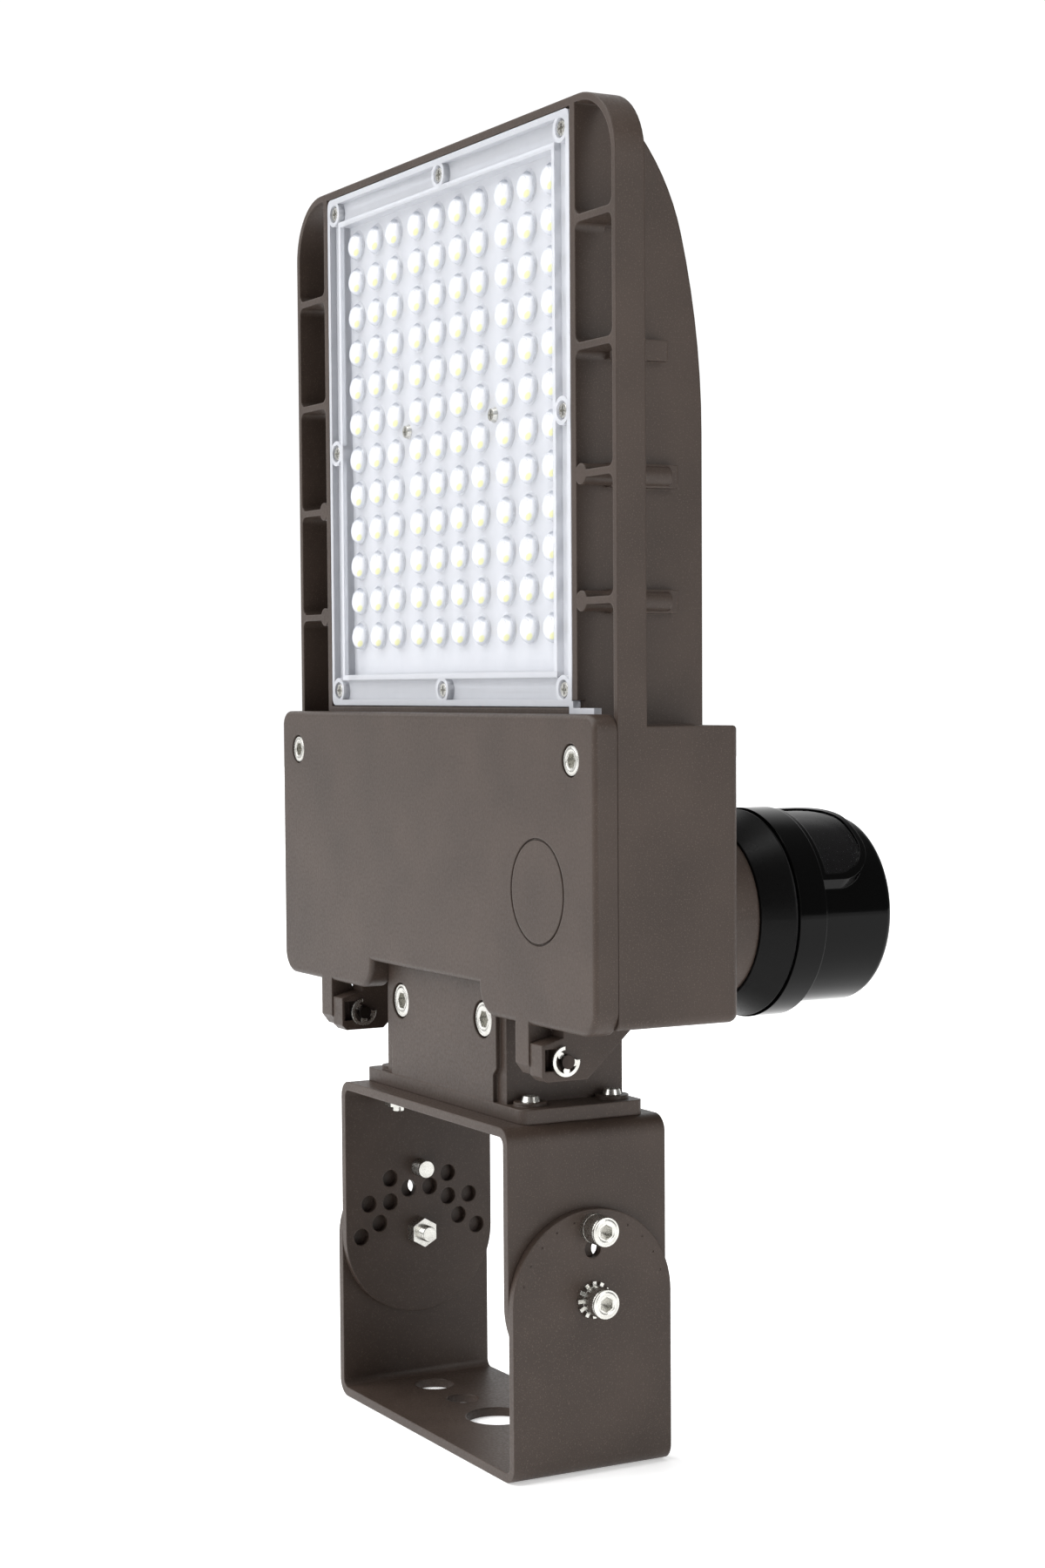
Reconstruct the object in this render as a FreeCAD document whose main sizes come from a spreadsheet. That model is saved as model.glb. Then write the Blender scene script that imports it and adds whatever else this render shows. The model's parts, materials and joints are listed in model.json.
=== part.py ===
import FreeCAD, Part
import math
import os
import re

import Sketcher

# A pole-mounted shoebox area light on a tilting double yoke, in millimetres.
# Origin: middle of the underside of the lower yoke.  +Z is up, the lens faces -Y,
# and the photocell stands out of the back, towards +Y.

V = FreeCAD.Vector
doc = FreeCAD.newDocument("area_light")

# ---------------------------------------------------------------- driving dimensions
SIZES = [
    # yoke
    ("lower_span", 150.4, "lower yoke, outside width across the legs"),
    ("yoke_depth", 68.0, "both yokes, front to back"),
    ("yoke_sheet", 3.5, "both yokes, plate thickness"),
    ("bend_r", 3.0, "both yokes, inside bend radius"),
    ("leg_play", 0.2, "gap between a lower leg and an upper leg"),
    ("pivot_z", 66.0, "height of the tilt pivot"),
    ("upper_rise", 66.0, "from the pivot to the top of the upper yoke"),
    ("arc_far", 27.0, "radius of the outer row of index holes"),
    ("arc_near", 19.1, "radius of the inner row of index holes"),
    ("index_r", 3.5, "index hole radius"),
    ("index_step", 15.0, "degrees between neighbouring index holes"),
    ("wire_hole_r", 12.7, "wire entry in the lower yoke"),
    ("small_bolt_r", 6.5, "inner mounting hole radius"),
    ("small_bolt_x", 30.0, "inner mounting hole, from the middle"),
    ("large_bolt_r", 8.25, "outer mounting hole radius"),
    ("large_bolt_x", 55.5, "outer mounting hole, from the middle"),
    # yoke screws
    ("cap_r", 5.45, "yoke screw head radius"),
    ("cap_high", 7.4, "yoke screw head height"),
    ("cap_key_r", 2.9, "yoke screw hexagon socket, corner radius"),
    ("cap_shank_r", 3.0, "yoke screw shank radius"),
    ("pivot_play", 0.06, "radial clearance of a pivot screw in its legs"),
    ("washer_thick", 2.4, "washer stack under a yoke screw head"),
    ("washer_r", 5.6, "lock washer radius at the root of its teeth"),
    ("tooth_long", 1.4, "length of a lock washer tooth"),
    ("tooth_wide", 1.5, "width of a lock washer tooth"),
    ("nut_r", 6.1, "hexagon nut, corner radius"),
    ("nut_high", 5.0, "hexagon nut height"),
    ("stud_reach", 4.5, "pivot screw end that stands past its nut"),
    ("lock_reach", 7.0, "stud end that stands past the upper leg"),
    # adapter between yoke and housing
    ("foot_in", 1.8, "adapter foot, in from the inner faces of the upper yoke's legs"),
    ("foot_front", -24.8, "adapter foot, front face"),
    ("foot_back", 28.0, "adapter foot, back face"),
    ("foot_corner_r", 3.0, "adapter foot, upright corners"),
    ("foot_thick", 5.6, "adapter foot thickness"),
    ("neck_in", 17.6, "adapter neck, in from those faces"),
    ("neck_back", 28.0, "adapter neck, back face"),
    ("pad_in", 4.8, "raised pad on the neck's front, in from the neck's sides"),
    ("pad_slim", 2.6, "how much slimmer the pad is near the foot, each side"),
    ("pad_front", -24.4, "raised pad, front face"),
    ("pad_slim_z", 148.0, "height below which the pad is slimmer"),
    ("neck_wall", 3.6, "adapter neck, side and back wall"),
    ("neck_plate", 7.1, "adapter neck, front wall behind the pad"),
    ("foot_boss_r", 6.4, "raised seats of the foot screws"),
    ("foot_boss_high", 1.4, "height of those seats"),
    ("foot_screw_in", 12.0, "foot screws, in from those faces"),
    ("foot_screw_front", -15.5, "front foot screws, front to back"),
    ("foot_screw_rear", 20.0, "rear foot screws, front to back"),
    ("foot_screw_r", 2.5, "foot screw shank radius"),
    ("foot_head_r", 3.7, "foot screw head radius"),
    ("foot_head_high", 2.1, "foot screw head height"),
    ("foot_nut_r", 5.4, "foot nut, corner radius"),
    ("foot_nut_high", 6.5, "foot nut height"),
    ("neck_screw_in", 10.75, "neck screws, in from the pad's sides"),
    ("neck_screw_z", 168.2, "neck screws, height"),
    ("neck_head_r", 6.5, "neck screw head radius"),
    ("neck_head_high", 6.6, "neck screw head height"),
    ("neck_key_r", 3.5, "neck screw hexagon socket, corner radius"),
    ("neck_shank_r", 3.95, "neck screw shank radius"),
    ("neck_screw_long", 16.0, "neck screw length under its head"),
    ("slip_gap", 0.3, "gap between pieces that slip together"),
    # housing
    ("body_half", 132.0, "housing, half its width"),
    ("front_y", -22.5, "front plane of the housing, where the door seats"),
    ("top_z", 500.5, "top of the housing"),
    ("rail_deep", 11.8, "side rails, front to back"),
    ("rail_wall", 2.6, "side rails and top bar, wall"),
    ("corner_r", 24.5, "top outer corners of the rails"),
    ("sink_half", 104.5, "heat-sink, half its width"),
    ("sink_back", 30.0, "heat-sink, back of the fins"),
    ("sink_floor", -11.5, "front face of the plate behind the lens"),
    ("sink_plate", 6.0, "thickness of the plate behind the lens"),
    ("sink_bend_drop", 115.5, "from the housing's top down to where the fins start to curve forward"),
    ("sink_arc_low", 297.0, "lower radius of the curved back"),
    ("sink_arc_top", 82.6, "upper radius of the curved back"),
    ("sink_arc_angle", 13.8, "degrees turned on the lower radius"),
    ("fin_thick", 2.2, "fin thickness"),
    ("fin_pitch", 13.0, "fin spacing"),
    ("slot_r", 3.0, "rounded corners of the openings between heat-sink and rails"),
    ("rib_thick", 2.6, "bridges between heat-sink and rails"),
    ("rib_first_z", 324.2, "height of the lowest bridge"),
    ("rib_pitch", 44.5, "spacing of the bridges"),
    ("rib_boss_r", 3.7, "round bosses on the two lower bridges"),
    ("rib_stub", 8.4, "height of the bridges where they run on along the heat-sink"),
    ("rib_tail", 28.0, "how far the lower bridges run back past the rails"),
    ("box_top", 280.0, "driver box, top"),
    ("box_bottom", 174.1, "driver box, bottom"),
    ("box_back", 28.0, "driver box, back"),
    ("box_wall", 3.2, "driver box wall"),
    ("box_edge_r", 3.5, "driver box, rounded back edges"),
    ("flange_wide", 6.8, "driver box, rim that the door gasket meets"),
    ("flange_deep", 4.0, "depth of that rim"),
    ("tenon_bottom", 150.0, "tenon, lower end"),
    ("tenon_wall", 6.0, "tenon wall"),
    ("neck_top_z", 183.2, "top of the neck's raised pad"),
    # photocell and its socket
    ("eye_x", 72.5, "photocell axis, from the middle"),
    ("eye_z", 207.5, "photocell axis, height"),
    ("eye_boss_r", 32.0, "housing boss for the photocell socket, radius"),
    ("eye_boss_wall", 4.0, "wall of that boss"),
    ("eye_boss_end", 55.0, "back end of that boss"),
    ("socket_throat_r", 33.0, "photocell socket, radius at the boss"),
    ("socket_mouth_r", 39.4, "photocell socket, radius at its rim"),
    ("socket_end", 66.4, "photocell socket, back face"),
    ("eye_gasket", 1.3, "gasket between socket and photocell"),
    ("eye_ring_r", 40.0, "photocell, ring radius"),
    ("eye_ring_long", 12.0, "photocell, ring length"),
    ("eye_base_thick", 4.0, "photocell, thickness of its base"),
    ("eye_cap_r", 35.8, "photocell, cap radius"),
    ("eye_cap_end", 113.2, "photocell, back end"),
    ("eye_wall", 2.4, "photocell cap wall"),
    ("blade_ring_r", 11.5, "photocell blades, radius of their circle"),
    ("blade_long", 9.0, "photocell blades, length"),
    ("blade_wide", 6.0, "photocell blades, width"),
    ("blade_thick", 1.2, "photocell blades, thickness"),
    ("window_turn", 37.0, "degrees from straight up to the middle of the photocell window"),
    ("window_wide", 38.0, "photocell window, width across its chord"),
    ("window_long", 22.0, "photocell window, length"),
    ("window_rim", 2.2, "rim round the photocell window"),
    # door
    ("door_front", -32.0, "door, front face"),
    ("door_gap", 0.2, "gap between door and housing"),
    ("door_top", 284.4, "door, top edge"),
    ("door_bottom", 172.0, "door, bottom edge"),
    ("door_wall", 3.0, "door wall"),
    ("door_edge_r", 2.0, "door, rounded front edge"),
    ("door_top_r", 6.0, "door, top corners"),
    ("door_bottom_r", 9.5, "door, bottom corners"),
    ("notch_gap", 0.4, "door notch round the neck, wider than the pad on each side"),
    ("notch_top", 183.6, "door notch, top edge"),
    ("knock_x", 91.2, "knock-out ring, from the middle"),
    ("knock_z", 220.6, "knock-out ring, height"),
    ("knock_r", 19.5, "knock-out ring radius"),
    ("knock_line", 0.9, "knock-out ring, width of its line"),
    ("door_screw_in", 16.5, "door screws, in from the housing's sides"),
    ("door_screw_z", 268.3, "door screws, height"),
    ("door_head_r", 5.3, "door screw head radius"),
    ("door_head_high", 5.0, "door screw head height"),
    ("door_key_r", 2.9, "door screw hexagon socket, corner radius"),
    ("door_shank_r", 2.5, "door screw shank radius"),
    ("door_screw_long", 14.0, "door screw length under its head"),
    ("door_seat_r", 8.0, "door, round seats of its screws"),
    # hinge
    ("pin_y", -22.3, "door hinge pins, front to back"),
    ("pin_z", 159.3, "door hinge pins, height"),
    ("pin_r", 2.6, "door hinge pin radius"),
    ("pin_play", 0.05, "radial clearance of the door on its pins"),
    ("arm_x", 74.6, "right door arm, its left side"),
    ("arm_wide", 9.8, "door arm width"),
    ("arm_bottom", 153.4, "door arm, lower end"),
    ("lug_gap", 0.3, "gap between a door arm and a housing lug"),
    ("lug_wide", 8.8, "housing lug width"),
    ("lug_front", -31.5, "housing lug, front face"),
    ("lug_bottom", 152.0, "housing lug, lower end"),
    ("lug_back", 11.5, "housing lug, back end at the box"),
    ("lug_toe", -12.7, "housing lug, back end at its foot"),
    ("hinge_shift", 168.5, "from the right hinge to the left one"),
    ("clip_thick", 1.0, "retaining clip thickness"),
    ("clip_r", 5.6, "retaining clip radius"),
    # lens and lamps
    ("lens_half", 100.6, "lens, half its width"),
    ("lens_low", 286.9, "lens, bottom edge"),
    ("lens_high", 497.2, "lens, top edge"),
    ("lens_corner_r", 3.0, "lens, rounded corners"),
    ("lens_gap", 0.4, "gap round the lens"),
    ("lens_rim", 12.6, "lens rim width"),
    ("lens_rim_high", 4.6, "lens rim, height over the field"),
    ("lens_plate", 2.0, "lens plate thickness"),
    ("optic_r", 6.4, "optic, radius at its foot"),
    ("optic_top_r", 3.6, "optic, radius at its top"),
    ("optic_high", 2.8, "optic height"),
    ("lamp_pitch_x", 17.4, "lamp spacing across"),
    ("lamp_pitch_z", 14.6, "lamp spacing up and down"),
    ("group_gap", 2.3, "extra space between the three groups of columns"),
    ("lamp_top_z", 476.4, "height of the top row of lamps"),
    ("lamp_side", 3.4, "lamp chip, side"),
    ("lamp_thick", 0.8, "lamp chip, thickness"),
    ("board_thick", 1.6, "lamp board thickness"),
    ("board_edge", 13.4, "lamp board, inside the lens edge"),
    ("lens_screw_in", 6.2, "lens screws, inside the lens edge"),
    ("lens_screw_r", 1.9, "lens screw shank radius"),
    ("lens_head_r", 3.2, "lens screw head radius"),
    ("lens_head_high", 2.2, "lens screw head height"),
    ("lens_boss_r", 5.2, "lens screw boss radius"),
    ("lens_screw_long", 9.0, "lens screw length under its head"),
    ("board_screw_x", 35.95, "board screws, from the middle"),
    ("board_head_r", 2.9, "board screw head radius"),
    ("gasket_wide", 7.0, "lens gasket width"),
    # electrical gear in the driver box
    ("driver_low", -104.0, "driver, left end"),
    ("driver_high", 28.0, "driver, right end"),
    ("driver_bottom", 196.0, "driver, bottom"),
    ("driver_drop", 20.0, "driver, from the top of its box down to its top"),
    ("driver_deep", 30.0, "driver, front to back"),
    ("driver_tab", 8.0, "driver mounting tabs, length"),
    ("surge_low", 44.0, "surge protector, left end"),
    ("surge_high", 96.0, "surge protector, right end"),
    ("surge_bottom", 247.0, "surge protector, bottom"),
    ("surge_top", 272.0, "surge protector, top"),
    ("surge_deep", 20.0, "surge protector, front to back"),
    ("block_low", 54.0, "terminal block, left end"),
    ("block_high", 92.0, "terminal block, right end"),
    ("block_front", -6.0, "terminal block, front"),
    ("block_back", 10.0, "terminal block, back"),
    ("block_high_z", 14.0, "terminal block height"),
    ("wire_r", 1.4, "lead radius"),
    ("wire_bend", 8.0, "lead bend radius"),
    ("lamp_lead_x", 12.0, "lamp lead, from the middle"),
    ("lamp_lead_y", -9.8, "lamp lead, front to back"),
    ("grommet_r", 3.6, "lamp lead grommet radius"),
]
VALUE = {alias: number for alias, number, _ in SIZES}

sheet = doc.addObject("Spreadsheet::Sheet", "dims")
for row, (alias, number, meaning) in enumerate(SIZES, start=1):
    sheet.set(f"A{row}", meaning)
    sheet.set(f"B{row}", str(number))
    sheet.setAlias(f"B{row}", alias)
doc.recompute()

WORD = re.compile(r"[a-z][a-z_]*[a-z]")
AXIS_TURN = {
    "X": FreeCAD.Rotation(V(0, 1, 0), 90),
    "Y": FreeCAD.Rotation(V(1, 0, 0), -90),
    "Z": FreeCAD.Rotation(),
}
PLANE_ROLE = {"XY": "XY_Plane", "XZ": "XZ_Plane", "YZ": "YZ_Plane"}
NODES = []


def bound(text):
    """Turn an expression written with bare aliases into one that the sheet binds."""
    return WORD.sub(lambda m: "dims." + m.group() if m.group() in VALUE else m.group(), str(text))


def bind(item, **expressions):
    """Bind properties of item; Base_x stands for Placement.Base.x."""
    for name, text in expressions.items():
        path = name.replace("Base_", "Placement.Base.")
        item.setExpression(path, bound(text))
    return item


# ---------------------------------------------------------------- solids and booleans
def box(x, y, z):
    """A block between pairs of planes."""
    item = doc.addObject("Part::Box", "Block")
    return bind(
        item,
        Length=f"({x[1]}) - ({x[0]})", Width=f"({y[1]}) - ({y[0]})", Height=f"({z[1]}) - ({z[0]})",
        Base_x=x[0], Base_y=y[0], Base_z=z[0],
    )


def turned(kind, axis, centre, span, **sizes):
    """A round or regular solid along an axis, from span[0] to span[1]."""
    item = doc.addObject(kind, "Turned")
    item.Placement = FreeCAD.Placement(V(), AXIS_TURN[axis])
    places = list(centre)
    places.insert("XYZ".index(axis), span[0])
    return bind(
        item, Height=f"({span[1]}) - ({span[0]})",
        Base_x=places[0], Base_y=places[1], Base_z=places[2], **sizes,
    )


def rod(axis, centre, span, radius):
    """A cylinder."""
    return turned("Part::Cylinder", axis, centre, span, Radius=radius)


def cone(axis, centre, span, first_r, last_r):
    """A cone frustum."""
    return turned("Part::Cone", axis, centre, span, Radius1=first_r, Radius2=last_r)


def hexagon(axis, centre, span, corner_r):
    """A hexagonal bar."""
    item = turned("Part::Prism", axis, centre, span, Circumradius=corner_r)
    item.Polygon = 6
    return item


def join(*items):
    """One solid out of several that touch."""
    if len(items) == 1:
        return items[0]
    item = doc.addObject("Part::MultiFuse", "Joined")
    item.Shapes = list(items)
    item.Refine = True
    return item


def cut(base, *tools):
    """The base with every tool taken away."""
    item = doc.addObject("Part::Cut", "Cut")
    item.Base = base
    item.Tool = join(*tools)
    return item


def common(base, tool):
    """What two solids share."""
    item = doc.addObject("Part::Common", "Common")
    item.Base = base
    item.Tool = tool
    return item


def group(*items):
    """Several separate solids under one name."""
    item = doc.addObject("Part::Compound", "Group")
    item.Links = list(items)
    return item


def shaped(shape, name="Shaped"):
    """A shape made with Part's own functions."""
    item = doc.addObject("Part::Feature", name)
    item.Shape = shape
    return item


def rounded(item, radius, wanted):
    """Fillet the edges for which wanted(middle, direction) is true."""
    doc.recompute()
    picks = []
    for number, edge in enumerate(item.Shape.Edges, start=1):
        if edge.Degenerated:
            continue
        middle = edge.valueAt((edge.FirstParameter + edge.LastParameter) / 2)
        if wanted(middle, edge.tangentAt(edge.FirstParameter)):
            picks.append((number, radius, radius))
    if not picks:
        raise RuntimeError("no edge to round")
    fillet = doc.addObject("Part::Fillet", "Rounded")
    fillet.Base = item
    fillet.Edges = picks
    return fillet


def node(label, item):
    """Name a finished piece; the name is also its file's."""
    item.Label = label
    NODES.append(item)
    return item


def near(a, b, slack=0.05):
    """True when two sizes agree."""
    return abs(a - b) < slack


def sized(text):
    """The span from a seat outwards: (low, high) for a side of + or -."""
    seat, side, length = text
    return (seat, f"({seat}) + ({length})") if side == "+" else (f"({seat}) - ({length})", seat)


def cap_screw(axis, side, centre, seat, kind, under):
    """A socket head screw whose head stands on the given side of its seat."""
    other = "-" if side == "+" else "+"
    head = rod(axis, centre, sized((seat, side, f"{kind}_high")), f"{kind}_r")
    shank = rod(axis, centre, sized((seat, other, under)), f"{kind.replace('_head', '')}_shank_r")
    top = f"({seat}) + {kind}_high" if side == "+" else f"({seat}) - {kind}_high"
    key_size = f"{kind.replace('_head', '')}_key_r"
    socket = hexagon(axis, centre, sized((top, other, f"{kind}_high * 0.55")), key_size)
    return cut(join(head, shank), socket)


def cross_recess(axis, centre, mouth, other, head_r, deep):
    """Two crossed slots that run into a screw head from its mouth."""
    bars = []
    for first, second in ((0.55, 0.13), (0.13, 0.55)):
        spans = [(f"({place}) - ({head_r}) * {half}", f"({place}) + ({head_r}) * {half}")
                 for place, half in zip(centre, (first, second))]
        spans.insert("XYZ".index(axis), sized((mouth, other, deep)))
        bars.append(box(*spans))
    return bars


def cross_screw(axis, side, centre, seat, head_r, head_high, shank_r, under):
    """A pan head screw with a cross recess."""
    other = "-" if side == "+" else "+"
    head = cone(axis, centre, sized((seat, side, head_high)), head_r, f"({head_r}) * 0.8")
    if side == "-":
        head = cone(axis, centre, sized((seat, side, head_high)), f"({head_r}) * 0.8", head_r)
    shank = rod(axis, centre, sized((seat, other, under)), shank_r)
    mouth = f"({seat}) {side} ({head_high}) {side} 0.1"
    return cut(join(head, shank), *cross_recess(axis, centre, mouth, other, head_r, f"({head_high}) * 0.7"))


# ---------------------------------------------------------------- sketched bodies
class Sketched:
    """A body made of sketches that are padded, pocketed and rounded."""

    def __init__(self, label):
        self.body = doc.addObject("PartDesign::Body", "Body")
        node(label, self.body)

    def sketch(self, plane, level):
        """An empty sketch on one of the body's own planes, moved to a level."""
        support = [o for o in self.body.Origin.OriginFeatures if o.Role == PLANE_ROLE[plane]][0]
        item = self.body.newObject("Sketcher::SketchObject", "Sketch")
        item.AttachmentSupport = [(support, "")]
        item.MapMode = "FlatFace"
        offset = f"-({level})" if plane == "XZ" else str(level)
        item.setExpression("AttachmentOffset.Base.z", bound(offset))
        return item

    def place(self, sketch, geometry, point, where):
        """Tie one point of the sketch to its place from the origin."""
        for kind, text in zip(("DistanceX", "DistanceY"), where):
            number = sketch.addConstraint(Sketcher.Constraint(kind, -1, 1, geometry, point, 1.0))
            sketch.setExpression(f"Constraints[{number}]", bound(text))

    def outline(self, sketch, corners):
        """A closed outline of straight sides."""
        count = len(corners)
        start = len(sketch.Geometry)
        turns = [2 * math.pi * k / count for k in range(count)]
        spread = [V(math.cos(turn), math.sin(turn), 0) for turn in turns]
        sides = [Part.LineSegment(spread[k], spread[(k + 1) % count]) for k in range(count)]
        sketch.addGeometry(sides, False)
        for k in range(count):
            after = start + (k + 1) % count
            sketch.addConstraint(Sketcher.Constraint("Coincident", start + k, 2, after, 1))
            self.place(sketch, start + k, 1, corners[k])

    def circle(self, sketch, centre, radius):
        """A circle."""
        number = sketch.addGeometry(Part.Circle(V(), V(0, 0, 1), 1.0), False)
        fixed = sketch.addConstraint(Sketcher.Constraint("Radius", number, 1.0))
        sketch.setExpression(f"Constraints[{fixed}]", bound(radius))
        self.place(sketch, number, 3, centre)

    def extrude(self, kind, plane, span, corners=(), circles=()):
        """Pad or pocket outlines between two levels."""
        sketch = self.sketch(plane, span[0])
        for outline in corners:
            self.outline(sketch, outline)
        for centre, radius in circles:
            self.circle(sketch, centre, radius)
        item = self.body.newObject(f"PartDesign::{kind}", kind)
        item.Profile = sketch
        item.setExpression("Length", bound(f"({span[1]}) - ({span[0]})"))
        item.Reversed = (plane == "XZ") == (kind == "Pad")
        doc.recompute()
        if "Invalid" in item.State or item.Shape.isNull():
            raise RuntimeError(f"{self.body.Label}: {kind} failed")
        return item

    def pad(self, plane, span, corners=(), circles=()):
        """Add material between two levels."""
        before = self.volume()
        self.extrude("Pad", plane, span, corners, circles)
        if self.volume() <= before:
            raise RuntimeError(f"{self.body.Label}: a pad added nothing")

    def pocket(self, plane, span, corners=(), circles=()):
        """Take material away between two levels."""
        before = self.volume()
        self.extrude("Pocket", plane, span, corners, circles)
        if self.volume() >= before:
            raise RuntimeError(f"{self.body.Label}: a pocket cut nothing")

    def volume(self):
        """Volume so far."""
        return 0.0 if self.body.Tip is None else self.body.Tip.Shape.Volume

    def round(self, radius, wanted):
        """Fillet chosen edges with a radius from the sheet."""
        tip = self.body.Tip
        picks = []
        for number, edge in enumerate(tip.Shape.Edges, start=1):
            middle = edge.valueAt((edge.FirstParameter + edge.LastParameter) / 2)
            if wanted(middle, edge.tangentAt(edge.FirstParameter)):
                picks.append(f"Edge{number}")
        item = self.body.newObject("PartDesign::Fillet", "Fillet")
        item.Base = (tip, picks)
        item.setExpression("Radius", bound(radius))
        doc.recompute()
        if not picks or "Invalid" in item.State:
            raise RuntimeError(f"{self.body.Label}: a fillet failed")


def rectangle(x, z):
    """Corners of a rectangle between pairs of sizes."""
    return [(x[0], z[0]), (x[1], z[0]), (x[1], z[1]), (x[0], z[1])]


# ---------------------------------------------------------------- yokes
LEG_OUT = "lower_span / 2"
LEG_IN = "lower_span / 2 - yoke_sheet"
UPPER_OUT = "lower_span / 2 - yoke_sheet - leg_play"
UPPER_IN = "lower_span / 2 - 2 * yoke_sheet - leg_play"
FOOT_HALF = f"({UPPER_IN} - foot_in)"
FOOT_SCREW_X = f"({UPPER_IN} - foot_screw_in)"
NECK_HALF = f"({UPPER_IN} - neck_in)"
PAD_HALF = f"({UPPER_IN} - neck_in - pad_in)"
NECK_SCREW_X = f"({UPPER_IN} - neck_in - pad_in - neck_screw_in)"
NOTCH_HALF = f"({UPPER_IN} - neck_in - pad_in + notch_gap)"
YOKE_TOP = "pivot_z + upper_rise"
HALF_DEEP = "yoke_depth / 2"
TEETH = 12
FOOT_SCREWS = [(x, y) for x in (f"-{FOOT_SCREW_X}", FOOT_SCREW_X)
               for y in ("foot_screw_front", "foot_screw_rear")]


def bend_test(across, height):
    """Edges that run front to back along a bend of a yoke."""
    def wanted(middle, direction):
        return abs(direction.y) > 0.99 and near(abs(middle.x), across) and near(middle.z, height)
    return wanted


def index_holes(x_span):
    """The two rows of index holes in an upper leg, as drill solids."""
    drills = []
    for step in range(-6, 7):
        arc = "arc_far" if step % 2 == 0 else "arc_near"
        angle = f"{step} * index_step"
        centre = (f"{arc} * sin({angle})", f"pivot_z + {arc} * cos({angle})")
        drills.append(rod("X", centre, x_span, "index_r"))
    return drills


def make_lower_yoke():
    """The outer yoke: a base plate with two legs that end in half circles."""
    base = box((f"-{LEG_OUT}", LEG_OUT), (f"-{HALF_DEEP}", HALF_DEEP), (0, "yoke_sheet"))
    parts = [base]
    for side in (-1, 1):
        span = (LEG_IN, LEG_OUT) if side > 0 else (f"-{LEG_OUT}", f"-({LEG_IN})")
        parts.append(box(span, (f"-{HALF_DEEP}", HALF_DEEP), (0, "pivot_z")))
        parts.append(rod("X", (0, "pivot_z"), span, HALF_DEEP))
    plate = join(*parts)
    outer = rounded(plate, VALUE["bend_r"] + VALUE["yoke_sheet"], bend_test(VALUE["lower_span"] / 2, 0.0))
    inner_x = VALUE["lower_span"] / 2 - VALUE["yoke_sheet"]
    inner = rounded(outer, VALUE["bend_r"], bend_test(inner_x, VALUE["yoke_sheet"]))
    through = (f"-{LEG_OUT} - 1", f"{LEG_OUT} + 1")
    drills = [
        rod("X", (0, "pivot_z"), through, "cap_shank_r + pivot_play"),
        rod("X", (0, "pivot_z + arc_far"), through, "cap_shank_r + pivot_play"),
        rod("X", (0, "pivot_z + arc_near"), through, "index_r"),
        rod("Z", (0, 0), (-1, "yoke_sheet + 1"), "wire_hole_r"),
    ]
    for side in ("-", ""):
        drills.append(rod("Z", (f"{side}small_bolt_x", 0), (-1, "yoke_sheet + 1"), "small_bolt_r"))
        drills.append(rod("Z", (f"{side}large_bolt_x", 0), (-1, "yoke_sheet + 1"), "large_bolt_r"))
    node("lower_yoke", cut(inner, *drills))


def make_upper_yoke():
    """The inner yoke, upside down inside the lower one, with its index holes."""
    low_plate = f"{YOKE_TOP} - yoke_sheet"
    parts = [box((f"-({UPPER_OUT})", UPPER_OUT), (f"-{HALF_DEEP}", HALF_DEEP), (low_plate, YOKE_TOP))]
    for side in (-1, 1):
        span = (UPPER_IN, UPPER_OUT) if side > 0 else (f"-({UPPER_OUT})", f"-({UPPER_IN})")
        parts.append(box(span, (f"-{HALF_DEEP}", HALF_DEEP), ("pivot_z", YOKE_TOP)))
        parts.append(rod("X", (0, "pivot_z"), span, HALF_DEEP))
    plate = join(*parts)
    outer_x = VALUE["lower_span"] / 2 - VALUE["yoke_sheet"] - VALUE["leg_play"]
    top = VALUE["pivot_z"] + VALUE["upper_rise"]
    outer = rounded(plate, VALUE["bend_r"] + VALUE["yoke_sheet"], bend_test(outer_x, top))
    sheet_thick = VALUE["yoke_sheet"]
    inner = rounded(outer, VALUE["bend_r"], bend_test(outer_x - sheet_thick, top - sheet_thick))
    through = (f"-({UPPER_OUT}) - 1", f"{UPPER_OUT} + 1")
    drills = [rod("X", (0, "pivot_z"), through, "cap_shank_r + pivot_play")]
    drills += index_holes(through)
    drills.append(rod("Z", (0, 0), (f"{low_plate} - 1", f"{YOKE_TOP} + 1"), "wire_hole_r"))
    plate_through = (f"{low_plate} - 1", f"{YOKE_TOP} + 1")
    drills += [rod("Z", place, plate_through, "foot_screw_r + 0.1") for place in FOOT_SCREWS]
    node("upper_yoke", cut(inner, *drills))


def tooth_washer(side):
    """An external-tooth lock washer under a pivot screw's head."""
    seat = LEG_OUT if side == "+" else f"-{LEG_OUT}"
    span = sized((seat, side, "washer_thick"))
    ring = rod("X", (0, "pivot_z"), span, "washer_r")
    tooth_span = sized((seat, side, "washer_thick * 0.5"))
    teeth = []
    for k in range(TEETH):
        angle = f"{k} * {360 / TEETH}"
        tooth = box(tooth_span, ("-tooth_wide / 2", "tooth_wide / 2"),
                    ("washer_r - 1", "washer_r + tooth_long"))
        turn = FreeCAD.Rotation(V(1, 0, 0), k * 360 / TEETH)
        tooth.Placement = FreeCAD.Placement(V(), turn)
        bind(
            tooth,
            Base_y=f"-tooth_wide / 2 * cos({angle}) - (washer_r - 1) * sin({angle})",
            Base_z=f"pivot_z - tooth_wide / 2 * sin({angle}) + (washer_r - 1) * cos({angle})",
        )
        teeth.append(tooth)
    bore = rod("X", (0, "pivot_z"), (f"-{LEG_OUT} - 9", f"{LEG_OUT} + 9"), "cap_shank_r + pivot_play")
    return cut(join(ring, *teeth), bore)


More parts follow.
